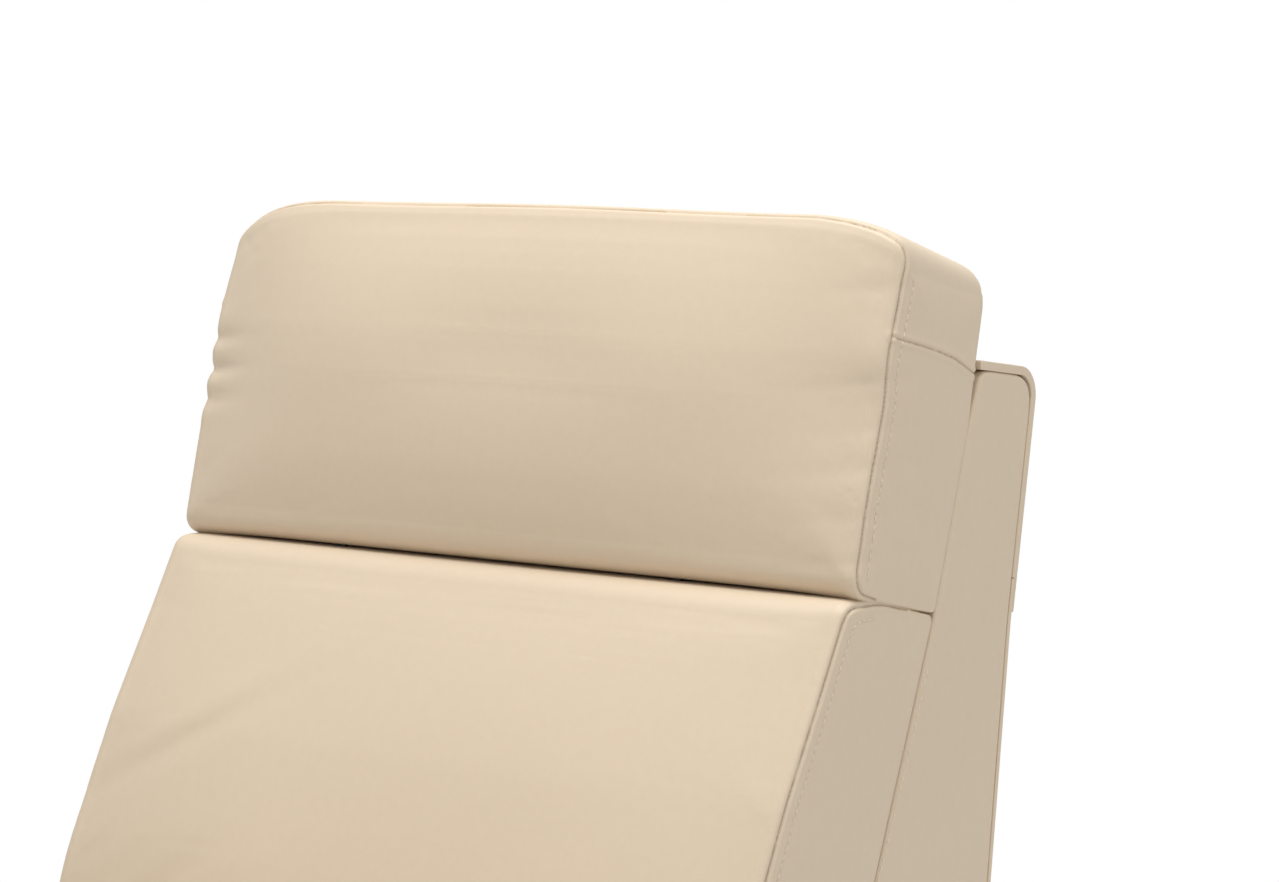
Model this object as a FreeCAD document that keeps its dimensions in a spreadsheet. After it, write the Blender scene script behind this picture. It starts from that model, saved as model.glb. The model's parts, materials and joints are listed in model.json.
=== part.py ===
import FreeCAD, Part
import math
import os
import Sketcher

# Armless recliner, upright and closed. X is the width, the sitter faces -Y, +Z is up.
# The origin is on the floor under the middle of the whole chair. Millimetres and degrees.

V = FreeCAD.Vector
LEFT_AND_RIGHT = (("left", 1), ("right", -1))

# Driving dimensions, each set by itself.
SIZES = {
    "chair_width": 620,
    "running_gap": 0.5,
    # Fixed base.
    "foot_height": 36,
    "foot_radius": 24,
    "foot_inset": 40,
    "foot_side_inset": 2,
    "base_front": -430,
    "base_rear": 345,
    "base_top": 244,
    "base_panel_thick": 25,
    "panel_corner": 12,
    "panel_rear_corner": 30,
    "rear_panel_drop": 8,
    "cross_tube": 30,
    "cross_tube_wall": 2,
    "cross_tube_lift": 38,
    "front_tube_y": -300,
    "rear_tube_y": 250,
    "track_height": 36,
    "track_wall": 2.5,
    "track_drop": 4,
    "track_plate_gap": 15,
    "track_front": -340,
    "track_rear": 300,
    "glide_length": 60,
    "glide_stud": 6,
    "front_glide_y": -270,
    "rear_glide_y": 150,
    # Seat frame and the plates of the mechanism.
    "plate_inset": 67,
    "plate_thick": 3,
    "beam_hang": 30,
    "beam_drop": 28,
    "beam_front": -372,
    "beam_rear": 262,
    "beam_nose": 8,
    "beam_tail": 20,
    "beam_brow": 14,
    "leg_radius": 16,
    "ear_radius": 19,
    "ear_root": 30,
    "rail_side_gap": 1,
    "rail_width": 47,
    "rail_clearance": 6,
    "rail_height": 94,
    "rail_front": -432,
    "rail_rear_gap": 42,
    "rail_corner": 6,
    "swing_gap": 4,
    "front_rail_depth": 34,
    "rear_rail_depth": 22,
    "rear_rail_y": 40,
    "cross_rail_height": 26,
    "block_length": 60,
    "block_height": 40,
    "block_drop": 6,
    "front_block_y": -330,
    "rear_block_y": -60,
    "strap_thick": 3,
    "strap_width": 50,
    "strap_margin": 52,
    "cushion_front": -484,
    "cushion_rear": 66,
    "cushion_height": 134,
    "cushion_side_gap": 2,
    "back_pivot_y": 225,
    "back_pivot_rise": 86,
    "back_disc": 144,
    "pivot_pin_radius": 6,
    "pivot_pin_end": 3,
    # Footrest linkage, drawn closed.
    "link_length": 235,
    "link_width": 20,
    "link_thick": 4,
    "link_gap": 1,
    "link_pin_radius": 4,
    "link_pin_play": 0.05,
    "open_pivot_play": 0.6,
    "link_closed_angle": 85,
    "link_open_angle": 9,
    "link_rise": 8,
    "link_pivot_y": -352,
    "link_pivot_drop": 24,
    "crank_radius": 38,
    "crank_angle": 34,
    "crank_boss": 5,
    "drive_tube_y": -212,
    "drive_tube_radius": 11,
    "drive_tube_wall": 2,
    "drive_tube_end": 6,
    "bush_wall": 2,
    "bush_lip": 1,
    # Footrest panel.
    "footrest_side_gap": 7,
    "footrest_setback": 88,
    "footrest_depth": 50,
    "footrest_height": 250,
    "footrest_rise": 20,
    "footrest_board_thick": 14,
    "footrest_board_side": 10,
    "footrest_board_edge": 8,
    "bracket_lip": 26,
    "bracket_foot": 30,
    "brace_radius": 8,
    "brace_drop": 70,
    "brace_ahead": 13,
    # Back.
    "crease_behind": 58,
    "crease_rise": 355,
    "side_panel_thick": 24,
    "cover_thick": 4,
    "hem_step": 2.5,
    "hem_drop": 28,
    "hem_tuck": 24,
    "shell_corner": 20,
    "bracket_thick": 4,
    "bracket_gap": 4,
    "bracket_radius": 20,
    "post_thick": 22,
    "post_depth": 46,
    "post_foot": 100,
    "bottom_rail_depth": 26,
    "bottom_rail_height": 50,
    "middle_rail_depth": 26,
    "middle_rail_height": 60,
    "top_rail_depth": 24,
    "top_rail_height": 60,
    "soft_gap": 0.3,
    # Headrest.
    "headrest_pivot_ahead": 15,
    "headrest_pivot_up": 3,
    "headrest_board_thick": 12,
    "headrest_board_length": 180,
    "headrest_board_margin": 80,
    "headrest_board_lean": 20,
    "headrest_board_play": 0.4,
    "hinge_margin": 80,
    "hinge_thick": 4,
    "hinge_gap": 0.5,
    "hinge_radius": 7,
    "hinge_pin_radius": 3,
    "hinge_pin_end": 2,
    "hinge_foot_width": 24,
    "hinge_foot_thick": 3,
    "hinge_foot_height": 46,
    "hinge_foot_up": 26,
    "pocket_play": 1.5,
    "pocket_side": 2.8,
}


def fitted(sizes):
    """All sizes: the driving ones and those that follow from them by a named clearance."""
    s = dict(sizes)
    half = s["chair_width"] / 2
    s["base_inner_x"] = half - s["base_panel_thick"]
    s["plate_inner_x"] = half - s["plate_inset"] - s["plate_thick"]
    s["plate_outer_x"] = half - s["plate_inset"]
    s["rail_inner_x"] = half - s["rail_side_gap"] - s["rail_width"]
    s["bracket_inner_x"] = half - s["side_panel_thick"] - s["bracket_gap"] - s["bracket_thick"]
    s["post_inner_x"] = s["bracket_inner_x"] - s["post_thick"]
    s["headrest_board_width"] = s["chair_width"] - 2 * s["headrest_board_margin"]
    s["hinge_x"] = s["headrest_board_width"] / 2 - s["hinge_margin"]
    s["footrest_width"] = s["chair_width"] - 2 * s["footrest_side_gap"]
    s["track_top"] = s["base_top"] - s["track_drop"]
    s["rear_panel_top"] = s["base_top"] - s["rear_panel_drop"]
    s["cross_tube_z"] = s["foot_height"] + s["cross_tube_lift"]
    s["rail_bottom"] = s["base_top"] + s["rail_clearance"]
    s["rail_top"] = s["rail_bottom"] + s["rail_height"]
    s["beam_bottom"] = s["base_top"] - s["beam_hang"]
    s["beam_top"] = s["rail_top"] - s["beam_drop"]
    s["cushion_bottom"] = s["rail_top"] + s["running_gap"]
    s["cushion_top"] = s["rail_top"] + s["cushion_height"]
    s["back_pivot_z"] = s["rail_top"] + s["back_pivot_rise"]
    s["crease_y"] = s["back_pivot_y"] + s["crease_behind"]
    s["crease_z"] = s["back_pivot_z"] + s["crease_rise"]
    s["hem_z"] = s["crease_z"] - s["hem_drop"]
    s["headrest_pivot_y"] = s["crease_y"] - s["headrest_pivot_ahead"]
    s["headrest_pivot_z"] = s["crease_z"] + s["headrest_pivot_up"]
    s["link_pivot_z"] = s["beam_top"] - s["link_pivot_drop"]
    s["footrest_top"] = s["link_pivot_z"] + s["footrest_rise"]
    s["footrest_bottom"] = s["footrest_top"] - s["footrest_height"]
    s["footrest_back"] = s["link_pivot_y"] - s["footrest_setback"]
    s["footrest_front"] = s["footrest_back"] - s["footrest_depth"]
    return s


doc = FreeCAD.newDocument("armless_recliner")
sheet = doc.addObject("Spreadsheet::Sheet", "dims")
for row, (alias, value) in enumerate(fitted(SIZES).items(), 1):
    sheet.set(f"A{row}", alias)
    sheet.set(f"B{row}", str(value))
    sheet.setAlias(f"B{row}", alias)
doc.recompute()

pieces = []


def size(alias):
    """One driving dimension, read from the sheet."""
    return float(sheet.get(alias))


def keep(feature, label):
    """Names a finished piece and lists it for the hand-in."""
    feature.Label = label
    pieces.append(feature)
    return feature


def place(feature, x=0.0, y=0.0, z=0.0, rotation=None):
    """Puts a feature at a point of the chair's frame."""
    feature.Placement = FreeCAD.Placement(V(x, y, z), rotation or FreeCAD.Rotation())


def group(label, features):
    """Separate solids that are one named group, such as four feet."""
    compound = doc.addObject("Part::Compound", label)
    compound.Links = features
    return keep(compound, label)


def box(name, length, width, height, x, y, z):
    """A box whose sides are expressions on the sheet, with its low corner at x, y, z."""
    feature = doc.addObject("Part::Box", name)
    feature.setExpression("Length", length)
    feature.setExpression("Width", width)
    feature.setExpression("Height", height)
    place(feature, x, y, z)
    return feature


def leaning_box(name, length, width, height, x, centre, lean):
    """A box across the chair, centred on a point of the side view and leaning back."""
    feature = box(name, length, str(width), str(height), 0, 0, 0)
    angle = math.radians(lean)
    y = centre[0] - width / 2 * math.cos(angle) - height / 2 * math.sin(angle)
    z = centre[1] + width / 2 * math.sin(angle) - height / 2 * math.cos(angle)
    place(feature, x, y, z, FreeCAD.Rotation(V(1, 0, 0), -lean))
    return feature


def cylinder_x(name, radius, height, x, y, z):
    """A round bar along X, from x towards +X, with expressions for radius and height."""
    feature = doc.addObject("Part::Cylinder", name)
    feature.setExpression("Radius", radius)
    feature.setExpression("Height", height)
    place(feature, x, y, z, FreeCAD.Rotation(V(0, 1, 0), 90))
    return feature


def cylinder_z(name, radius, height, x, y, z):
    """A round bar along Z with expressions for radius and height."""
    feature = doc.addObject("Part::Cylinder", name)
    feature.setExpression("Radius", radius)
    feature.setExpression("Height", height)
    place(feature, x, y, z)
    return feature


def cut(name, base, tools):
    """The base with every tool taken away."""
    result = base
    for index, tool in enumerate(tools):
        step = doc.addObject("Part::Cut", f"{name}_cut{index}")
        step.Base = result
        step.Tool = tool
        result = step
    return result


def fuse(name, features):
    """One solid from several touching features."""
    feature = doc.addObject("Part::MultiFuse", f"{name}_fuse")
    feature.Shapes = features
    feature.Refine = True
    return feature


def low_x(side, inner, thick):
    """The low X face of a plate that starts at inner and grows outwards on one side."""
    return inner if side > 0 else -inner - thick


# Sketches and bodies.

def new_sketch(body, name):
    """An empty sketch on the body's plane of Y and Z."""
    plane = [f for f in body.Origin.OriginFeatures if f.Role == "YZ_Plane"][0]
    sketch = body.newObject("Sketcher::SketchObject", name)
    sketch.AttachmentSupport = (plane, [""])
    sketch.MapMode = "FlatFace"
    return sketch


def draw_edges(sketch, edges):
    """Adds the lines and arcs of a flat wire to a sketch, joins their ends and holds them."""
    drawn = [sketch.addGeometry(edge, False) for edge in edges]
    for here, after in zip(drawn, drawn[1:] + drawn[:1]):
        ends = [(sketch.getPoint(here, a).distanceToPoint(sketch.getPoint(after, b)), a, b)
                for a in (1, 2) for b in (1, 2)]
        gap, a, b = min(ends)
        sketch.addConstraint(Sketcher.Constraint("Coincident", here, a, after, b))
    for here in drawn:
        sketch.addConstraint(Sketcher.Constraint("Block", here))


def draw_circle(sketch, centre, expression):
    """A hole in a sketch, with its radius tied to the sheet."""
    index = sketch.addGeometry(Part.Circle(V(centre[0], centre[1], 0), V(0, 0, 1), 1), False)
    sketch.addConstraint(Sketcher.Constraint("DistanceX", -1, 1, index, 3, centre[0]))
    sketch.addConstraint(Sketcher.Constraint("DistanceY", -1, 1, index, 3, centre[1]))
    radius = sketch.addConstraint(Sketcher.Constraint("Radius", index, 1))
    sketch.setExpression(f"Constraints[{radius}]", expression)


def pad(body, sketch, name, length):
    """Raises a sketch by a length that is an expression on the sheet."""
    feature = body.newObject("PartDesign::Pad", name)
    feature.Profile = sketch
    feature.setExpression("Length", length)
    body.Tip = feature
    return feature


# Flat outlines with rounded corners, shared by sketches and lofts.

def rounded(points, radii):
    """Lines and tangent arcs round a closed outline, as (kind, points) in order.

    An arc may use up the whole line to a neighbouring point, which then has no line."""
    count = len(points)
    trimmed = []
    for index in range(count):
        here = V(points[index][0], points[index][1], 0)
        before = V(points[index - 1][0], points[index - 1][1], 0)
        after_point = points[(index + 1) % count]
        after = V(after_point[0], after_point[1], 0)
        radius = radii[index] if isinstance(radii, (list, tuple)) else radii
        if radius <= 0:
            trimmed.append((here, None, here))
            continue
        way_in = (before - here).normalize()
        way_out = (after - here).normalize()
        half = way_in.getAngle(way_out) / 2
        reach = radius / math.tan(half)
        middle = (way_in + way_out).normalize()
        centre = here + middle * (radius / math.sin(half))
        trimmed.append((here + way_in * reach, centre - middle * radius, here + way_out * reach))
    steps = []
    for index in range(count):
        start, top, end = trimmed[index]
        if top is not None:
            steps.append(("arc", (start, top, end)))
        after = trimmed[(index + 1) % count][0]
        if end.distanceToPoint(after) > 0.001:
            steps.append(("line", (end, after)))
    return steps


def flat_edges(points, radii=0.0):
    """Sketch geometry of a rounded outline."""
    edges = []
    for kind, ends in rounded(points, radii):
        if kind == "arc":
            edges.append(Part.Arc(*ends))
        else:
            edges.append(Part.LineSegment(*ends))
    return edges


def stadium_edges(start, end, radius):
    """Sketch geometry of a bar with round ends, from one centre to the other."""
    first = V(start[0], start[1], 0)
    last = V(end[0], end[1], 0)
    along = (last - first).normalize()
    across = V(-along.y, along.x, 0) * radius
    return [
        Part.LineSegment(first + across, last + across),
        Part.Arc(last + across, last + along * radius, last - across),
        Part.LineSegment(last - across, first - across),
        Part.Arc(first - across, first - along * radius, first + across),
    ]


def section_wire(x, points, radii):
    """The rounded outline as a wire standing in the plane at x."""
    edges = []
    for kind, ends in rounded(points, radii):
        stood = [V(x, p.x, p.y) for p in ends]
        if kind == "arc":
            edges.append(Part.Arc(*stood).toShape())
        else:
            edges.append(Part.LineSegment(*stood).toShape())
    return Part.Wire(edges)


def profile_body(label, points, radii, thick, x, holes=()):
    """A plate cut to an outline in Y and Z, thick along X, with round holes."""
    body = doc.addObject("PartDesign::Body", f"{label}_body")
    sketch = new_sketch(body, f"{label}_sketch")
    draw_edges(sketch, flat_edges(points, radii))
    for centre, expression in holes:
        draw_circle(sketch, centre, expression)
    pad(body, sketch, f"{label}_pad", thick)
    place(body, x)
    return body


def bar_body(label, start, end, holes, x, play="dims.link_pin_play"):
    """A flat steel link with round ends and pin holes."""
    body = doc.addObject("PartDesign::Body", f"{label}_body")
    sketch = new_sketch(body, f"{label}_sketch")
    draw_edges(sketch, stadium_edges(start, end, size("link_width") / 2))
    for centre in holes:
        draw_circle(sketch, centre, f"dims.link_pin_radius + {play}")
    pad(body, sketch, f"{label}_pad", "dims.link_thick")
    place(body, x)
    return body


half_width = size("chair_width") / 2
crease = (size("crease_y"), size("crease_z"))


def from_crease(points):
    """Points given from the crease at the side of the chair, in the chair's frame."""
    return [(crease[0] + y, crease[1] + z) for y, z in points]


def lerp(a, b, share):
    """A point between two points."""
    return (a[0] + (b[0] - a[0]) * share, a[1] + (b[1] - a[1]) * share)


def offset_line(points, distance):
    """The same open line moved sideways, to the left of its direction, with mitred corners."""
    normals = []
    for start, end in zip(points, points[1:]):
        run = V(end[0] - start[0], end[1] - start[1], 0).normalize()
        normals.append(V(-run.y, run.x, 0))
    normals = [normals[0]] + normals + [normals[-1]]
    moved = []
    for (y, z), before, after in zip(points, normals, normals[1:]):
        shift = (before + after) * (distance / (1 + before.dot(after)))
        moved.append((y + shift.x, z + shift.y))
    return moved


def at_height(start, end, z):
    """The point of a line at one height."""
    return lerp(start, end, (z - start[1]) / (end[1] - start[1]))


# Lines of the back, seen from the side: fronts of the cushions, where cushion and shell
# meet, and the rear of the shell, from the crease.

LUMBAR_FRONT = from_crease([(-34, -2), (-60, -37), (-112, -125), (-162, -220), (-202, -325)])
BACK_SEAM = from_crease([(-92, -390), (-83, -354), (0, -187), (71, -17), (115, 115), (129, 143)])
SHELL = from_crease([(80, -484), (122, -385), (151, -220), (175, -34), (208, 143.5), (129, 154)])

back_pivot = (size("back_pivot_y"), size("back_pivot_z"))
SKIRT_START = 14
BRACKET_REACH = (46, 92)
LUMBAR_CROWN = 22
HEADREST_CROWN = 14


def on_disc(angle, radius):
    """A point round the back's pivot, its angle from +Y towards +Z."""
    turn = math.radians(angle)
    return (back_pivot[0] + radius * math.cos(turn), back_pivot[1] + radius * math.sin(turn))


headrest_pivot = (size("headrest_pivot_y"), size("headrest_pivot_z"))
board_foot = from_crease([(42, 4)])[0]
hinge_root = from_crease([(84, -36)])[0]
link_pivot = (size("link_pivot_y"), size("link_pivot_z"))


# Fixed base.

def make_feet():
    """Four round glides under the side panels."""
    across = size("base_inner_x") - size("foot_side_inset")
    feet = []
    for name, side in LEFT_AND_RIGHT:
        for end, y in (("front", size("base_front") + size("foot_inset")),
                       ("rear", size("base_rear") - size("foot_inset"))):
            feet.append(cylinder_z(f"foot_{name}_{end}", "dims.foot_radius", "dims.foot_height",
                                   side * across, y, 0))
    group("feet", feet)


def make_base_panels():
    """Padded side walls that carry the tracks, and the rear wall between them."""
    bottom = size("foot_height")
    front, rear, top = size("base_front"), size("base_rear"), size("base_top")
    corner = size("panel_corner")
    outline = [(front, bottom), (rear, bottom), (rear, top), (front, top)]
    radii = [corner, corner, size("panel_rear_corner"), corner]
    inner = size("base_inner_x")
    for name, side in LEFT_AND_RIGHT:
        x = low_x(side, inner, size("base_panel_thick"))
        keep(profile_body(f"base_side_{name}", outline, radii, "dims.base_panel_thick", x),
             f"base_side_panel_{name}")
    keep(box("rear_panel_box", "2 * dims.base_inner_x", "dims.base_panel_thick",
             "dims.rear_panel_top - dims.foot_height", -inner, rear - size("base_panel_thick"),
             bottom), "base_rear_panel")


def make_base_frame():
    """Two square cross tubes between the side walls, and the seat's two C-shaped tracks."""
    inner = size("base_inner_x")
    tube_wall = size("cross_tube_wall")
    for name, y in (("front", size("front_tube_y")), ("rear", size("rear_tube_y"))):
        outer = box(f"{name}_tube_outer", "2 * dims.base_inner_x", "dims.cross_tube",
                    "dims.cross_tube", -inner, y, size("cross_tube_z"))
        bore = box(f"{name}_tube_bore", "2 * dims.base_inner_x",
                   "dims.cross_tube - 2 * dims.cross_tube_wall",
                   "dims.cross_tube - 2 * dims.cross_tube_wall", -inner, y + tube_wall,
                   size("cross_tube_z") + tube_wall)
        keep(cut(f"{name}_tube", outer, [bore]), f"base_cross_tube_{name}")
    depth = inner - size("plate_outer_x") - size("track_plate_gap")
    wall = size("track_wall")
    bottom = size("track_top") - size("track_height")
    for name, side in LEFT_AND_RIGHT:
        x = low_x(side, inner - depth, depth)
        outer = box(f"track_{name}_outer",
                    "dims.base_inner_x - dims.plate_outer_x - dims.track_plate_gap",
                    "dims.track_rear - dims.track_front", "dims.track_height", x,
                    size("track_front"), bottom)
        hollow = box(f"track_{name}_hollow",
                     "dims.base_inner_x - dims.plate_outer_x - dims.track_plate_gap - dims.track_wall",
                     "dims.track_rear - dims.track_front", "dims.track_height - 2 * dims.track_wall",
                     x if side > 0 else x + wall, size("track_front"), bottom + wall)
        keep(cut(f"track_{name}", outer, [hollow]), f"seat_track_{name}")


# Footrest linkage: a lazy tong of two crossing bars, a half bar and the footrest bracket.

def tong_points():
    """Pivot centres of the closed linkage in Y and Z."""
    length = size("link_length")
    rise = math.radians(size("link_rise"))
    angle = math.radians(size("link_closed_angle"))
    ahead = (-math.cos(rise), math.sin(rise))
    up = (math.sin(rise), math.cos(rise))

    def at(forward, upward):
        return (link_pivot[0] + forward * ahead[0] + upward * up[0],
                link_pivot[1] + forward * ahead[1] + upward * up[1])

    reach = length * math.cos(angle)
    drop = length * math.sin(angle)
    open_drop = length * math.sin(math.radians(size("link_open_angle")))
    return {
        "rear_top": at(0, 0),
        "rear_low": at(0, -drop),
        "rear_low_open": at(0, -open_drop),
        "first_cross": at(reach / 2, -drop / 2),
        "mid_low": at(reach, -drop),
        "mid_top": at(reach, 0),
        "second_cross": at(reach * 1.5, -drop / 2),
    }


tong = tong_points()


def crank_offset():
    """From the drive tube's centre to its crank pin, and from the first pivot to the ear's pin."""
    angle = math.radians(size("crank_angle"))
    radius = size("crank_radius")
    return (-radius * math.cos(angle), radius * math.sin(angle))


SEAT_STRAPS = 5
BACK_STRAPS = 6
plate_x = size("plate_inner_x")
layer_pitch = size("link_thick") + size("link_gap")
layer_one, layer_two, layer_three, layer_four = [plate_x - n * layer_pitch for n in (1, 2, 3, 4)]
drive_centre = (size("drive_tube_y"), size("link_pivot_z"))


def pin(name, side, centre, inner, outer, expression="dims.link_pin_radius"):
    """A pivot pin along X from one layer to another."""
    x = inner if side > 0 else -outer
    return cylinder_x(name, expression, str(outer - inner), x, centre[0], centre[1])


def make_seat_plates():
    """Steel side plates: a long beam, a slotted leg in front and an ear for the back."""
    front, rear = size("beam_front"), size("beam_rear")
    bottom, top = size("beam_bottom"), size("beam_top")
    beam = [(front, bottom), (rear, bottom), (rear, top), (front, top)]
    nose, tail, brow = size("beam_nose"), size("beam_tail"), size("beam_brow")
    slot = size("link_pin_radius") + size("open_pivot_play")
    for name, side in LEFT_AND_RIGHT:
        body = doc.addObject("PartDesign::Body", f"seat_plate_{name}_body")
        beam_sketch = new_sketch(body, f"plate_{name}_beam")
        draw_edges(beam_sketch, flat_edges(beam, [nose, tail, tail, brow]))
        pad(body, beam_sketch, f"plate_{name}_beam_pad", "dims.plate_thick")
        for part, start, end, width in (
            ("leg", tong["rear_top"], tong["rear_low"], size("leg_radius")),
            ("ear", (back_pivot[0], size("beam_top") - size("ear_root")), back_pivot,
             size("ear_radius")),
        ):
            sketch = new_sketch(body, f"plate_{name}_{part}")
            draw_edges(sketch, stadium_edges(start, end, width))
            pad(body, sketch, f"plate_{name}_{part}_pad", "dims.plate_thick")
        holes = new_sketch(body, f"plate_{name}_holes")
        draw_edges(holes, stadium_edges(tong["rear_low_open"], tong["rear_low"], slot))
        draw_circle(holes, link_pivot, "dims.link_pin_radius + dims.link_pin_play")
        draw_circle(holes, drive_centre, "dims.drive_tube_radius + dims.bush_wall")
        draw_circle(holes, back_pivot, "dims.pivot_pin_radius + dims.link_pin_play")
        pocket = body.newObject("PartDesign::Pocket", f"plate_{name}_pocket")
        pocket.Profile = holes
        pocket.Type = 1
        pocket.Midplane = True
        body.Tip = pocket
        place(body, low_x(side, plate_x, size("plate_thick")))
        keep(body, f"seat_plate_{name}")


def make_glides():
    """Nylon shoes on studs, which run in the tracks and carry the seat."""
    gap = size("running_gap")
    stud_start = size("plate_outer_x")
    shoe_start = stud_start + size("glide_stud")
    shoe_end = size("base_inner_x") - size("track_wall") - gap
    height = size("track_height") - 2 * size("track_wall") - 2 * gap
    low = size("track_top") - size("track_wall") - gap - height
    shoes = []
    for name, side in LEFT_AND_RIGHT:
        for end in ("front", "rear"):
            y = size(f"{end}_glide_y")
            x = low_x(side, shoe_start, shoe_end - shoe_start)
            shoe = box(f"shoe_{name}_{end}", str(shoe_end - shoe_start), "dims.glide_length",
                       str(height), x, y, low)
            stud = pin(f"stud_{name}_{end}", side, (y + size("glide_length") / 2, low + height / 2),
                       stud_start, shoe_start, "dims.pivot_pin_radius")
            shoes.append(fuse(f"glide_{name}_{end}", [shoe, stud]))
    group("seat_glide_shoes", shoes)


def make_seat_frame():
    """Side rails with a hollow end that clears the back, cross rails and elastic webbing."""
    front, top = size("rail_front"), size("rail_top")
    rear = size("back_pivot_y") - size("rail_rear_gap")
    corner = size("rail_corner")
    outline = [(front, size("rail_bottom")), (rear, size("rail_bottom")), (rear, top), (front, top)]
    inner, thick = size("rail_inner_x"), size("rail_width")
    for name, side in LEFT_AND_RIGHT:
        x = low_x(side, inner, thick)
        rail = profile_body(f"seat_rail_{name}", outline, [corner, 0, 0, corner], "dims.rail_width", x)
        swing = cylinder_x(f"swing_{name}", "dims.back_disc + dims.swing_gap", "dims.rail_width", x,
                           *back_pivot)
        keep(cut(f"seat_rail_{name}", rail, [swing]), f"seat_side_rail_{name}")
    width = "2 * dims.rail_inner_x"
    low = top - size("cross_rail_height")
    keep(box("front_rail", width, "dims.front_rail_depth", "dims.cross_rail_height", -inner, front,
             low), "seat_front_rail")
    keep(box("rear_rail", width, "dims.rear_rail_depth", "dims.cross_rail_height", -inner,
             size("rear_rail_y"), low), "seat_rear_rail")
    straps = []
    strap_start = front + size("front_rail_depth")
    first = -inner + size("strap_margin")
    pitch = (-2 * first - size("strap_width")) / (SEAT_STRAPS - 1)
    for index in range(SEAT_STRAPS):
        straps.append(box(f"seat_strap_{index}", "dims.strap_width",
                          "dims.rear_rail_y - dims.rail_front - dims.front_rail_depth",
                          "dims.strap_thick", first + index * pitch, strap_start,
                          top - size("strap_thick") - size("running_gap")))
    group("seat_webbing", straps)
    blocks = []
    for name, side in LEFT_AND_RIGHT:
        for end in ("front", "rear"):
            x = low_x(side, size("plate_outer_x"), inner - size("plate_outer_x"))
            blocks.append(box(f"rail_block_{name}_{end}", "dims.rail_inner_x - dims.plate_outer_x",
                              "dims.block_length", "dims.block_height", x, size(f"{end}_block_y"),
                              size("beam_top") - size("block_drop") - size("block_height")))
    group("seat_mounting_blocks", blocks)


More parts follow.
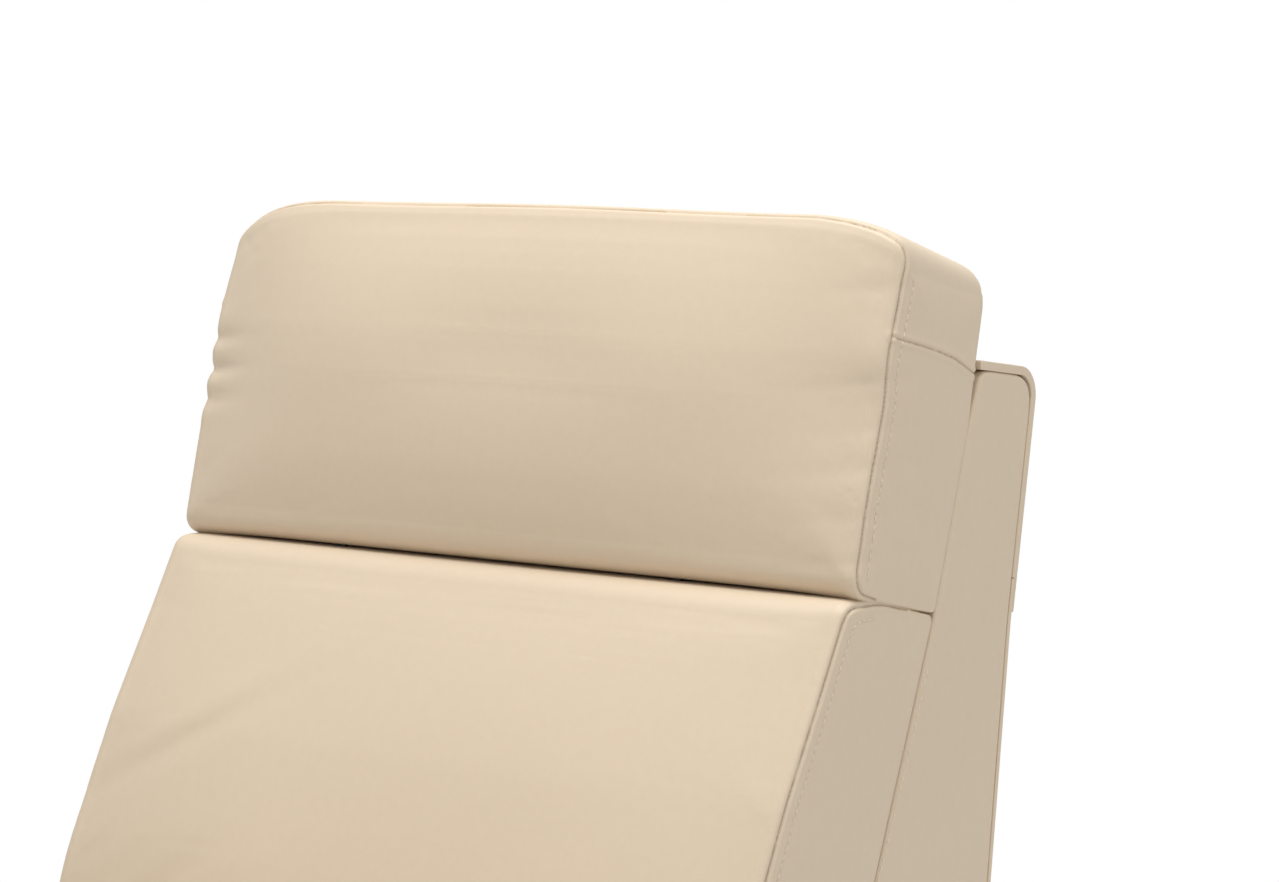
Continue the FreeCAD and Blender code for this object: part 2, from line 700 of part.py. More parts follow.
def make_linkage():
    """The bars and pins of both lazy tongs, one node for each bar."""
    ear = crank_offset()
    ear_end = (link_pivot[0] + ear[0], link_pivot[1] + ear[1])
    crank_end = (drive_centre[0] + ear[0], drive_centre[1] + ear[1])
    outer = size("plate_outer_x")
    tube_reach = outer + size("drive_tube_end")
    for name, side in LEFT_AND_RIGHT:
        one = low_x(side, layer_one, size("link_thick"))
        two = low_x(side, layer_two, size("link_thick"))
        three = low_x(side, layer_three, size("link_thick"))
        four = low_x(side, layer_four, size("link_thick"))

        rear_bar = bar_body(f"rear_bar_{name}", tong["rear_top"], tong["mid_low"],
                            [tong["first_cross"], tong["mid_low"]], one)
        ear_bar = bar_body(f"ear_bar_{name}", link_pivot, ear_end, [ear_end], three,
                           "dims.open_pivot_play")
        hub = pin(f"hub_{name}", side, link_pivot, layer_three, layer_one + size("link_thick"),
                  "dims.link_width / 2 - dims.link_gap")
        axle = pin(f"axle_{name}", side, link_pivot, layer_one, outer)
        keep(fuse(f"rear_link_{name}", [rear_bar, ear_bar, hub, axle]), f"footrest_rear_link_{name}")

        cross_bar = bar_body(f"cross_bar_{name}", tong["rear_low"], tong["mid_top"],
                             [tong["first_cross"]], two)
        slot_pin = pin(f"slot_pin_{name}", side, tong["rear_low"], layer_two, outer)
        top_pin = pin(f"top_pin_{name}", side, tong["mid_top"], layer_two, layer_one + size("link_thick"))
        keep(fuse(f"cross_link_{name}", [cross_bar, slot_pin, top_pin]), f"footrest_cross_link_{name}")

        short_bar = bar_body(f"short_bar_{name}", tong["mid_low"], tong["second_cross"],
                             [tong["mid_low"]], two)
        short_pin = pin(f"short_pin_{name}", side, tong["second_cross"], layer_two,
                        layer_one + size("link_thick"))
        keep(fuse(f"short_link_{name}", [short_bar, short_pin]), f"footrest_short_link_{name}")

        pins = [
            pin(f"first_pin_{name}", side, tong["first_cross"], layer_two,
                layer_one + size("link_thick")),
            pin(f"low_pin_{name}", side, tong["mid_low"], layer_two, layer_one + size("link_thick")),
        ]
        group(f"footrest_link_pins_{name}", pins)

        drive_bar = bar_body(f"drive_bar_{name}", crank_end, ear_end, [crank_end, ear_end], four)
        keep(drive_bar, f"footrest_drive_link_{name}")
        ear_pin = pin(f"ear_pin_{name}", side, ear_end, layer_four,
                      layer_three + size("link_thick"))
        keep(ear_pin, f"footrest_ear_pin_{name}")

    tube = cylinder_x("drive_tube_outer", "dims.drive_tube_radius",
                      "2 * (dims.plate_outer_x + dims.drive_tube_end)", -tube_reach, *drive_centre)
    bore = cylinder_x("drive_tube_bore", "dims.drive_tube_radius - dims.drive_tube_wall",
                      "2 * (dims.plate_outer_x + dims.drive_tube_end)", -tube_reach, *drive_centre)
    keep(cut("drive_tube", tube, [bore]), "footrest_drive_tube")
    cranks = []
    bushes = []
    for name, side in LEFT_AND_RIGHT:
        three = low_x(side, layer_three, size("link_thick"))
        arm = bar_body(f"crank_arm_{name}", drive_centre, crank_end, [], three)
        clear = cylinder_x(f"crank_bore_{name}", "dims.drive_tube_radius", "dims.link_thick", three,
                           *drive_centre)
        boss = pin(f"crank_boss_{name}", side, drive_centre, layer_three,
                   layer_three + size("link_thick"), "dims.drive_tube_radius + dims.crank_boss")
        crank = cut(f"crank_{name}", fuse(f"crank_{name}", [arm, boss]), [clear])
        cranks.append(fuse(f"crank_whole_{name}",
                           [crank, pin(f"crank_pin_{name}", side, crank_end, layer_four, layer_three)]))
        inner_lip, outer_lip = plate_x - size("bush_lip"), outer + size("bush_lip")
        ring = pin(f"bush_{name}", side, drive_centre, inner_lip, outer_lip,
                   "dims.drive_tube_radius + dims.bush_wall")
        hole = pin(f"bush_bore_{name}", side, drive_centre, inner_lip, outer_lip,
                   "dims.drive_tube_radius + dims.link_pin_play")
        bushes.append(cut(f"bush_{name}", ring, [hole]))
    group("footrest_cranks", cranks)
    group("drive_tube_bushes", bushes)


def make_footrest():
    """Bracket plates that are the front bars of the tongs, a board, a tube and a pad."""
    width = size("link_width") / 2
    back = size("footrest_back")
    top, bottom = size("footrest_top"), size("footrest_bottom")
    mid_top, cross = tong["mid_top"], tong["second_cross"]
    foot = bottom + size("bracket_foot")
    head = top - size("link_thick")
    lip_reach = size("bracket_lip") - size("link_thick")
    for name, side in LEFT_AND_RIGHT:
        one = low_x(side, layer_one, size("link_thick"))
        outline = [(mid_top[0] + width, mid_top[1] + size("link_thick")),
                   (cross[0] + width, cross[1]),
                   (cross[0] - width / 2, cross[1] - 4 * width),
                   (back, foot), (back, head),
                   (mid_top[0] - width / 2, mid_top[1] + width)]
        hole = "dims.link_pin_radius + dims.open_pivot_play"
        plate = profile_body(f"bracket_{name}", outline, [4, 6, 6, 0, 0, 6], "dims.link_thick", one,
                             [(mid_top, hole), (cross, hole)])
        lip = box(f"bracket_lip_{name}", "dims.bracket_lip", "dims.link_thick", str(head - foot),
                  one - (lip_reach if side > 0 else 0), back, foot)
        keep(fuse(f"bracket_{name}", [plate, lip]), f"footrest_bracket_{name}")
    edge = size("footrest_board_edge")
    keep(box("board_box", "dims.footrest_width - 2 * dims.footrest_board_side",
             "dims.footrest_board_thick", "dims.footrest_height - 2 * dims.footrest_board_edge",
             -size("footrest_width") / 2 + size("footrest_board_side"),
             back - size("footrest_board_thick"), bottom + edge), "footrest_board")
    keep(cylinder_x("brace", "dims.brace_radius", str(2 * layer_one), -layer_one,
                    back + size("brace_ahead"), cross[1] - size("brace_drop")),
         "footrest_cross_brace")

    front = size("footrest_front")
    rear_face = back - size("footrest_board_thick") - size("soft_gap")

    def section(x, inset, crown):
        return section_wire(x, [(front + crown, bottom + inset), (rear_face, bottom + inset),
                                (rear_face, top - inset), (front + crown, top - inset)],
                            [14, 3, 3, 14])

    cushion("footrest_cushion", size("footrest_width") / 2, 14, 10, section)


def cushion(label, half, inset, crown, section, pockets=()):
    """A padded form of straight panels between sections: crowned, and drawn in at both sides."""
    shares = [0, 0.35, 0.62, 0.8, 0.9, 0.955, 0.985, 1]
    wires = []
    for share in [-s for s in reversed(shares[1:])] + shares:
        wires.append(section(share * half, inset * abs(share) ** 24, crown * share * share))
    padding = doc.addObject("Part::Feature", f"{label}_padding")
    padding.Shape = Part.makeLoft(wires, True, True)
    keep(cut(label, padding, pockets), label)


# Seat cushion, back and headrest.

def make_seat_cushion():
    """A crowned cushion on the webbing, with a waterfall front."""
    front, rear = size("cushion_front"), size("cushion_rear")
    top, bottom = size("cushion_top"), size("cushion_bottom")

    def section(x, inset, crown):
        return section_wire(x, [(front + inset, bottom + inset / 3), (rear - inset, bottom + inset / 3),
                                (rear - inset, top - crown - 8), (front / 3, top - crown),
                                (front + inset, top - crown - 14)],
                            [24, 10, 22, 120, 42])

    cushion("seat_cushion", half_width - size("cushion_side_gap"), 14, 24, section)


def make_back_shell():
    """Side panels round the pivot, and a rear cover in two parts that overlap at a hem."""
    cover, step, corner = size("cover_thick"), size("hem_step"), size("shell_corner")
    disc = size("back_disc")
    inner = offset_line(SHELL, cover)
    front = on_disc(180 + SKIRT_START, disc)
    middle = on_disc((180 + SKIRT_START + 270) / 2, disc / math.cos(math.radians((90 - SKIRT_START) / 2)))
    outline = BACK_SEAM + list(reversed(inner)) + [on_disc(270, disc), middle, front]
    radii = [0] * len(BACK_SEAM) + [0, corner - cover] + [0] * (len(inner) - 1) + [disc, 0]
    for name, side in LEFT_AND_RIGHT:
        x = low_x(side, half_width - size("side_panel_thick"), size("side_panel_thick"))
        keep(profile_body(f"back_side_{name}", outline, radii, "dims.side_panel_thick", x),
             f"back_side_panel_{name}")

    below, above, top = SHELL[-3], SHELL[-2], SHELL[-1]
    hem = at_height(below, above, size("hem_z"))
    tuck = at_height(below, above, size("hem_z") + size("hem_tuck"))
    lower = SHELL[:-2] + [tuck]
    keep(profile_body("cover_lower", lower + list(reversed(offset_line(lower, cover))), 0,
                      "dims.chair_width", -half_width), "rear_cover_lower")
    outside = offset_line([hem, above, top], -step)
    inside = offset_line([tuck, above, top], cover)
    keep(profile_body("cover_upper", outside + list(reversed(inside)) + [tuck, hem],
                      [0, corner + step, 0, 0, corner - cover, 0, 0, 0],
                      "dims.chair_width", -half_width), "rear_cover_upper")


def make_back_frame():
    """Plywood posts, cross rails, elastic straps and the steel brackets of the back."""
    depth = size("post_depth")
    front_line = [(BACK_SEAM[1][0], back_pivot[1] - size("post_foot"))] + BACK_SEAM[1:5]
    rear_line = offset_line(front_line, -depth)
    outline = front_line + list(reversed(rear_line))
    thick = size("post_thick")
    for name, side in LEFT_AND_RIGHT:
        x = low_x(side, size("post_inner_x"), thick)
        post = profile_body(f"post_{name}", outline, 0, "dims.post_thick", x,
                            [(back_pivot, "dims.pivot_pin_radius + dims.link_pin_play")])
        keep(post, f"back_post_{name}")
    inner = size("post_inner_x")
    for name, part, share in (("bottom", 1, 0.35), ("top", 3, 0.62)):
        deep, high = size(f"{name}_rail_depth"), size(f"{name}_rail_height")
        lean = lean_of(front_line[part], front_line[part + 1])
        centre = lerp(lerp(front_line[part], front_line[part + 1], share),
                      lerp(rear_line[part], rear_line[part + 1], share), 0.5)
        keep(leaning_box(f"{name}_rail", "2 * dims.post_inner_x", deep, high, -inner, centre, lean),
             f"back_{name}_rail")
    under_hinge = hinge_root[1] - size("hinge_radius") - size("soft_gap")
    keep(box("middle_rail", "2 * dims.post_inner_x", "dims.middle_rail_depth",
             "dims.middle_rail_height", -inner, hinge_root[0] - 10,
             under_hinge - size("middle_rail_height")), "back_middle_rail")
    straps = []
    for index in range(BACK_STRAPS):
        part, share = divmod(0.12 + index * 0.32, 1)
        start, end = BACK_SEAM[1 + int(part)], BACK_SEAM[2 + int(part)]
        lean = lean_of(start, end)
        angle = math.radians(lean)
        behind = size("strap_thick") / 2 + 0.1
        centre = lerp(start, end, share)
        centre = (centre[0] + behind * math.cos(angle), centre[1] - behind * math.sin(angle))
        straps.append(leaning_box(f"back_strap_{index}", "2 * dims.post_inner_x",
                                  size("strap_thick"), size("strap_width"), -inner, centre, lean))
    group("back_webbing", straps)


def lean_of(start, end):
    """How far a line of the side view leans back from upright, in degrees."""
    return math.degrees(math.atan2(end[0] - start[0], end[1] - start[1]))


def make_back_brackets():
    """The steel ears that hang the back on the seat plates, and the two pivot pins."""
    inner, thick = size("bracket_inner_x"), size("bracket_thick")
    top = (back_pivot[0] + BRACKET_REACH[0], back_pivot[1] + BRACKET_REACH[1])
    pins = []
    for name, side in LEFT_AND_RIGHT:
        body = doc.addObject("PartDesign::Body", f"ear_{name}_body")
        sketch = new_sketch(body, f"ear_{name}_sketch")
        draw_edges(sketch, stadium_edges(back_pivot, top, size("bracket_radius")))
        draw_circle(sketch, back_pivot, "dims.pivot_pin_radius + dims.link_pin_play")
        pad(body, sketch, f"ear_{name}_pad", "dims.bracket_thick")
        place(body, low_x(side, inner, thick))
        keep(body, f"back_bracket_{name}")
        pins.append(pin(f"back_pin_{name}", side, back_pivot, plate_x - size("pivot_pin_end"),
                        inner + thick + size("bracket_gap") / 2, "dims.pivot_pin_radius"))
    group("back_pivot_pins", pins)


def lumbar_section(x, inset, crown):
    """The lumbar cushion's outline at one place across the chair."""
    front = LUMBAR_FRONT
    rear = [(y - 0.5, z) for y, z in BACK_SEAM[1:4]]
    shift = inset + crown - LUMBAR_CROWN
    points = [(front[0][0] + shift, front[0][1] - inset),
              (front[2][0] + shift, front[2][1]),
              (front[4][0] + shift / 2, front[4][1]),
              (front[4][0] + 6 + inset, rear[0][1] - 35 + inset / 2),
              (rear[0][0] - 9, rear[0][1] - 30 + inset / 2),
              rear[0],
              rear[1],
              at_height(rear[1], rear[2], rear[2][1] - 1 - inset / 2)]
    return section_wire(x, points, [16, 200, 60, 12, 10, 0, 200, 6])


def headrest_section(x, inset, crown):
    """The headrest's outline at one place across the chair, lower towards its top corners."""
    front = from_crease([(-33, 10), (5, 135), (24, 250)])
    rear = from_crease([(70, -10), (114, 115), (131, 200), (122, 236)])
    drop = inset * 2.4 + crown / 3
    shift = inset + crown - HEADREST_CROWN
    points = [(front[0][0] + shift / 2, front[0][1] + inset / 3),
              (rear[0][0], rear[0][1] + 2 + inset / 3),
              (rear[1][0] - 0.5, rear[1][1]),
              (rear[2][0], rear[2][1] - drop),
              (rear[3][0] - drop / 3, rear[3][1] + 26 - drop * 1.2),
              (front[2][0] + 8, front[2][1] + 12 - drop),
              (front[1][0] + shift, front[1][1])]
    return section_wire(x, points, [12, 6, 120, 24, 24, 24, 160])


def board_box(name, grow, deeper):
    """The headrest board, or the pocket that holds it, leaning back with the cushion."""
    lean = math.radians(size("headrest_board_lean"))
    width = size("headrest_board_width") + 2 * grow
    y = board_foot[0] - grow * math.cos(lean) - deeper * math.sin(lean)
    z = board_foot[1] + grow * math.sin(lean) - deeper * math.cos(lean)
    board = box(name, str(width), f"dims.headrest_board_thick + {2 * grow}",
                f"dims.headrest_board_length + {grow + deeper}", 0, 0, 0)
    place(board, -width / 2, y, z, FreeCAD.Rotation(V(1, 0, 0), -size("headrest_board_lean")))
    return board


def along_board(behind, up):
    """A point of the side view given from the foot of the board's front face."""
    angle = math.radians(size("headrest_board_lean"))
    return (board_foot[0] + behind * math.cos(angle) + up * math.sin(angle),
            board_foot[1] - behind * math.sin(angle) + up * math.cos(angle))


def hinge_bar(name, start, end, grow, x, thick):
    """One arm of a headrest hinge, or its pocket where grow is more than 0."""
    body = doc.addObject("PartDesign::Body", f"{name}_body")
    sketch = new_sketch(body, f"{name}_sketch")
    draw_edges(sketch, stadium_edges(start, end, size("hinge_radius") + grow))
    if grow == 0:
        draw_circle(sketch, start, "dims.hinge_pin_radius + dims.link_pin_play")
    pad(body, sketch, f"{name}_pad", thick)
    place(body, x)
    return body


def make_headrest_hinges():
    """Two steel hinges in the crease: a fixed arm, a moving arm with a foot, and a pin."""
    thick, play = size("hinge_thick"), size("pocket_play")
    lean = size("headrest_board_lean")
    knee = from_crease([(36.5, 13)])[0]
    foot_width, foot_thick = size("hinge_foot_width"), size("hinge_foot_thick")
    foot_centre = along_board(-foot_thick / 2 - 0.1, size("hinge_foot_up"))
    pocket_thick = 2 * thick + 2 * size("pocket_side") + size("hinge_gap")
    low_pockets, high_pockets, pins = [], [], []
    for name, side in LEFT_AND_RIGHT:
        fixed_x = low_x(side, size("hinge_x"), thick)
        moving_x = low_x(side, size("hinge_x") + thick + size("hinge_gap"), thick)
        fixed = hinge_bar(f"hinge_fixed_{name}", headrest_pivot, hinge_root, 0, fixed_x,
                          "dims.hinge_thick")
        keep(fixed, f"headrest_hinge_base_{name}")
        arm = hinge_bar(f"hinge_arm_{name}", headrest_pivot, knee, 0, moving_x, "dims.hinge_thick")
        foot_x = moving_x if side > 0 else moving_x + thick - foot_width
        foot = leaning_box(f"hinge_foot_{name}", "dims.hinge_foot_width", foot_thick,
                           size("hinge_foot_height"), foot_x, foot_centre, lean)
        keep(fuse(f"hinge_moving_{name}", [arm, foot]), f"headrest_hinge_arm_{name}")
        pins.append(pin(f"hinge_pin_{name}", side, headrest_pivot,
                        size("hinge_x") - size("hinge_pin_end"),
                        size("hinge_x") + 2 * thick + size("hinge_gap") + size("hinge_pin_end"),
                        "dims.hinge_pin_radius"))
        pocket_x = low_x(side, size("hinge_x") - size("pocket_side"), pocket_thick)
        low_pockets.append(hinge_bar(f"pocket_low_{name}", headrest_pivot, hinge_root, play,
                                     pocket_x, str(pocket_thick)))
        high_pockets.append(hinge_bar(f"pocket_high_{name}", headrest_pivot, knee, play,
                                      pocket_x, str(pocket_thick)))
        high_pockets.append(leaning_box(f"foot_pocket_{name}", f"dims.hinge_foot_width + {2 * play}",
                                        foot_thick + 5, 2 * size("hinge_foot_height") + 8,
                                        foot_x - play, along_board(-2, 1), lean))
    group("headrest_hinge_pins", pins)
    return low_pockets, high_pockets


def make_back_cushions():
    """Lumbar cushion and headrest cushion with its board, crowned, drawn in at their sides."""
    edge = half_width - size("rail_side_gap")
    low_pockets, high_pockets = make_headrest_hinges()
    keep(board_box("headrest_board_box", 0, 0), "headrest_board")
    high_pockets.append(board_box("board_pocket", size("headrest_board_play"), 40))
    cushion("lumbar_cushion", edge, 10, LUMBAR_CROWN, lumbar_section, low_pockets)
    cushion("headrest_cushion", edge, 10, HEADREST_CROWN, headrest_section, high_pockets)


make_feet()
make_base_panels()
make_base_frame()
make_seat_plates()
make_glides()
make_seat_frame()
make_linkage()
make_footrest()
make_seat_cushion()
make_back_shell()
make_back_frame()
make_back_brackets()
make_back_cushions()

doc.recompute()
for feature in doc.Objects:
    if "Invalid" in feature.State or "Error" in feature.State:
        raise RuntimeError(f"{feature.Name} did not build: {feature.State}")
for piece in pieces:
    if piece.Shape.isNull() or not piece.Shape.isValid():
        raise RuntimeError(f"{piece.Label} is not a sound solid")

os.makedirs("parts", exist_ok=True)
for piece in pieces:
    piece.Shape.exportStep(f"parts/{piece.Label}.step")
    bounds = piece.Shape.BoundBox
    print(f"{piece.Label}: {len(piece.Shape.Solids)} solids, "
          f"x {bounds.XMin:.1f}..{bounds.XMax:.1f} y {bounds.YMin:.1f}..{bounds.YMax:.1f} "
          f"z {bounds.ZMin:.1f}..{bounds.ZMax:.1f} volume {piece.Shape.Volume:.0f}")
print(len(pieces), "pieces")
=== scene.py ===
import json
import math
import bmesh
import bpy
import numpy as np
from mathutils import Matrix, Vector, geometry, kdtree
from mathutils.bvhtree import BVHTree


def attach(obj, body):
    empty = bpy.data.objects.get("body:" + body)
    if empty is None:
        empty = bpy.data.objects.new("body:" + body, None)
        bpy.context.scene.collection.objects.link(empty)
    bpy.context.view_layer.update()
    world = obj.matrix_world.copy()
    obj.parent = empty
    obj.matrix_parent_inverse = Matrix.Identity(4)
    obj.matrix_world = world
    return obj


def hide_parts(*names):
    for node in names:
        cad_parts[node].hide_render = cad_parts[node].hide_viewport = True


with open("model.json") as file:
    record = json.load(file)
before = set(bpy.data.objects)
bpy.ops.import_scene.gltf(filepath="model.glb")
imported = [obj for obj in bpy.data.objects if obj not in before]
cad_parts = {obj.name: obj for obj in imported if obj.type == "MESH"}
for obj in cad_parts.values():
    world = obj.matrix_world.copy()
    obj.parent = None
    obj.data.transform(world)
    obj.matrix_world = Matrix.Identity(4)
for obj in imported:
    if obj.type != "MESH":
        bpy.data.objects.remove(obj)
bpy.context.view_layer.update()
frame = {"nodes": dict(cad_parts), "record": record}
nodes = frame["nodes"]

MM = 0.001
CREASE = np.array([0.283, 0.785])
SIDES = (("left", 1), ("right", -1))


# Camera, at the photograph's place.

def make_camera():
    """A long lens from the front right, a little above the headrest."""
    turn, dip, roll = math.radians(36.0), math.radians(5.83), math.radians(0.10)
    ahead = Vector((-math.sin(turn) * math.cos(dip), math.cos(turn) * math.cos(dip), -math.sin(dip)))
    right = Vector((math.cos(turn), math.sin(turn), 0))
    up = right.cross(ahead)
    right_rolled = right * math.cos(roll) + up * math.sin(roll)
    up_rolled = up * math.cos(roll) - right * math.sin(roll)
    data = bpy.data.cameras.new("camera")
    data.sensor_width = 36
    data.sensor_fit = "HORIZONTAL"
    data.lens = 101.4
    camera = bpy.data.objects.new("camera", data)
    axes = Matrix((right_rolled, up_rolled, -ahead)).transposed()
    camera.matrix_world = Matrix.Translation((1.5998, -1.7719, 1.1419)) @ axes.to_4x4()
    bpy.context.scene.collection.objects.link(camera)
    bpy.context.scene.camera = camera


# Materials.

def srgb(*values):
    """Linear colour from 8-bit sRGB values."""
    linear = [v / 255 / 12.92 if v / 255 <= 0.04045 else ((v / 255 + 0.055) / 1.055) ** 2.4
              for v in values]
    return (*linear, 1.0)


class Nodes:
    """Short calls for building a material's node tree."""

    def __init__(self, name):
        self.material = bpy.data.materials.new(name)
        self.material.use_nodes = True
        self.tree = self.material.node_tree
        self.shader = self.tree.nodes["Principled BSDF"]
        self.space = self.tree.nodes.new("ShaderNodeTexCoord").outputs["Object"]

    def add(self, kind, **inputs):
        node = self.tree.nodes.new(kind)
        for key, value in inputs.items():
            socket = node.inputs[key.replace("_", " ")] if isinstance(key, str) else node.inputs[key]
            if isinstance(value, bpy.types.NodeSocket):
                self.tree.links.new(value, socket)
            else:
                socket.default_value = value
        return node

    def set(self, **inputs):
        for key, value in inputs.items():
            socket = self.shader.inputs[key.replace("_", " ")]
            if isinstance(value, bpy.types.NodeSocket):
                self.tree.links.new(value, socket)
            else:
                socket.default_value = value

    def stretched(self, x, y, z):
        node = self.add("ShaderNodeMapping", Vector=self.space)
        node.inputs["Scale"].default_value = (x, y, z)
        return node.outputs["Vector"]

    def noise(self, scale, detail=2.0, roughness=0.5, vector=None):
        node = self.add("ShaderNodeTexNoise", Vector=vector or self.space, Scale=scale, Detail=detail,
                        Roughness=roughness)
        return node.outputs["Fac"]

    def voronoi(self, scale, feature="F1", vector=None):
        node = self.tree.nodes.new("ShaderNodeTexVoronoi")
        node.feature = feature
        self.tree.links.new(vector or self.space, node.inputs["Vector"])
        node.inputs["Scale"].default_value = scale
        return node.outputs["Distance"]

    def ramp(self, value, stops):
        node = self.add("ShaderNodeValToRGB", Fac=value)
        ramp = node.color_ramp
        ramp.elements[0].position, ramp.elements[0].color = stops[0]
        ramp.elements[1].position, ramp.elements[1].color = stops[-1]
        for place, colour in stops[1:-1]:
            ramp.elements.new(place).color = colour
        return node.outputs["Color"]

    def mix(self, factor, first, second, blend="MIX"):
        node = self.tree.nodes.new("ShaderNodeMix")
        node.data_type = "RGBA"
        node.blend_type = blend
        for index, value in ((0, factor), (6, first), (7, second)):
            if isinstance(value, bpy.types.NodeSocket):
                self.tree.links.new(value, node.inputs[index])
            else:
                node.inputs[index].default_value = value
        return node.outputs[2]

    def math(self, operation, first, second=0.0):
        node = self.tree.nodes.new("ShaderNodeMath")
        node.operation = operation
        for index, value in enumerate((first, second)):
            if isinstance(value, bpy.types.NodeSocket):
                self.tree.links.new(value, node.inputs[index])
            else:
                node.inputs[index].default_value = value
        return node.outputs[0]

    def bump(self, height, distance, strength=1.0, below=None):
        node = self.add("ShaderNodeBump", Height=height, Distance=distance, Strength=strength)
        if below is not None:
            self.tree.links.new(below, node.inputs["Normal"])
        return node.outputs["Normal"]

    def attribute(self, name):
        node = self.tree.nodes.new("ShaderNodeAttribute")
        node.attribute_name = name
        return node.outputs["Fac"]


def shade(colour, factor):
    return (*(c * factor for c in colour[:3]), 1.0)


def leather(name, colour):
    """Smooth upholstery leather: faint tone changes, a fine pebble and pores, and painted shade in the
    seams' grooves.
    """
    m = Nodes(name)
    tone = m.ramp(m.noise(4.0, 3.0), [(0.3, shade(colour, 0.985)), (0.7, shade(colour, 1.01))])
    fleck = m.ramp(m.noise(150.0, 2.0), [(0.35, (0.988, 0.985, 0.98, 1)), (0.65, (1, 1, 1, 1))])
    tone = m.mix(1.0, tone, fleck, "MULTIPLY")
    # Painted shade: the attribute darkens the leather towards a deep brown down in seam grooves, where
    # shade falls.
    deep = m.mix(m.attribute("seam_with_painted_shade"), tone, srgb(128, 104, 80))
    pebble = m.math("ADD", m.math("MULTIPLY", m.voronoi(620.0), 0.6), m.noise(420.0, 3.0))
    soft = m.bump(m.noise(22.0, 2.0), 0.0008, 0.12)
    grain = m.bump(pebble, 0.00012, 0.25, soft)
    rough = m.math("ADD", m.math("MULTIPLY", m.noise(60.0, 2.0), 0.06), 0.47)
    m.set(Base_Color=deep, Roughness=rough, Normal=grain, Specular_IOR_Level=0.35,
          Sheen_Weight=0.05, Sheen_Roughness=0.5)
    return m.material


def thread(name, colour):
    """Sewing thread with twisted strands."""
    m = Nodes(name)
    twist = m.noise(900.0, 2.0)
    tone = m.ramp(twist, [(0.3, shade(colour, 0.85)), (0.7, shade(colour, 1.05))])
    m.set(Base_Color=tone, Roughness=0.62, Normal=m.bump(twist, 0.0002, 0.6), Sheen_Weight=0.15)
    return m.material


def coated_steel(name, colour):
    """Black powder-coated steel with a fine orange-peel surface and rubbed lighter patches."""
    m = Nodes(name)
    wear = m.ramp(m.noise(14.0, 4.0), [(0.45, colour), (0.75, shade(colour, 1.9))])
    rough = m.math("ADD", m.math("MULTIPLY", m.noise(40.0), 0.16), 0.36)
    m.set(Base_Color=wear, Roughness=rough, Metallic=0.25, Normal=m.bump(m.noise(650.0, 2.0), 0.0002, 0.4))
    return m.material


def zinc(name, colour):
    """Zinc-plated steel, brushed, a little dulled."""
    m = Nodes(name)
    lines = m.noise(1.0, 3.0, 0.6, m.stretched(60, 900, 900))
    tone = m.ramp(lines, [(0.3, shade(colour, 0.8)), (0.7, shade(colour, 1.05))])
    m.set(Base_Color=tone, Metallic=1.0, Roughness=0.34, Normal=m.bump(lines, 0.0001, 0.3))
    return m.material


def moulded(name, colour, roughness):
    """Moulded plastic with a fine spark texture."""
    m = Nodes(name)
    tone = m.ramp(m.noise(30.0, 3.0), [(0.3, shade(colour, 0.92)), (0.7, shade(colour, 1.06))])
    m.set(Base_Color=tone, Roughness=roughness, Normal=m.bump(m.noise(800.0, 2.0), 0.00015, 0.5))
    return m.material


def plywood(name, colour):
    """Birch plywood: long grain across the chair and fine pores."""
    m = Nodes(name)
    grain = m.noise(1.0, 5.0, 0.6, m.stretched(5, 70, 70))
    tone = m.ramp(grain, [(0.3, shade(colour, 0.72)), (0.5, colour), (0.75, shade(colour, 1.15))])
    pores = m.noise(1.0, 3.0, 0.6, m.stretched(30, 500, 500))
    m.set(Base_Color=tone, Roughness=0.62, Normal=m.bump(pores, 0.0004, 0.5))
    return m.material


def webbing(name, colour):
    """Elastic webbing: ribs along its length and a crosswise weave."""
    m = Nodes(name)
    ribs = m.math("SINE", m.math("MULTIPLY", axis_of(m, 2), 2600.0))
    cross = m.math("SINE", m.math("MULTIPLY", axis_of(m, 0), 3100.0))
    weave = m.math("MULTIPLY", ribs, cross)
    tone = m.ramp(m.math("ADD", m.math("MULTIPLY", weave, 0.5), 0.5),
                  [(0.2, shade(colour, 0.6)), (0.8, shade(colour, 1.5))])
    m.set(Base_Color=tone, Roughness=0.85, Normal=m.bump(weave, 0.0004, 0.7), Sheen_Weight=0.2)
    return m.material


def axis_of(m, index):
    node = m.add("ShaderNodeSeparateXYZ", Vector=m.space)
    return node.outputs[index]


LEATHER = srgb(221, 203, 178)
materials = {
    "leather": leather("leather", LEATHER),
    "thread": thread("thread", srgb(238, 224, 200)),
    "steel": coated_steel("coated_steel", srgb(38, 38, 40)),
    "zinc": zinc("zinc_plate", srgb(190, 192, 195)),
    "nylon": moulded("nylon", srgb(226, 222, 208), 0.45),
    "black_plastic": moulded("black_plastic", srgb(34, 34, 35), 0.5),
    "wood": plywood("plywood", srgb(206, 176, 132)),
    "webbing": webbing("webbing", srgb(66, 60, 56)),
}


# Outlines and surfaces.

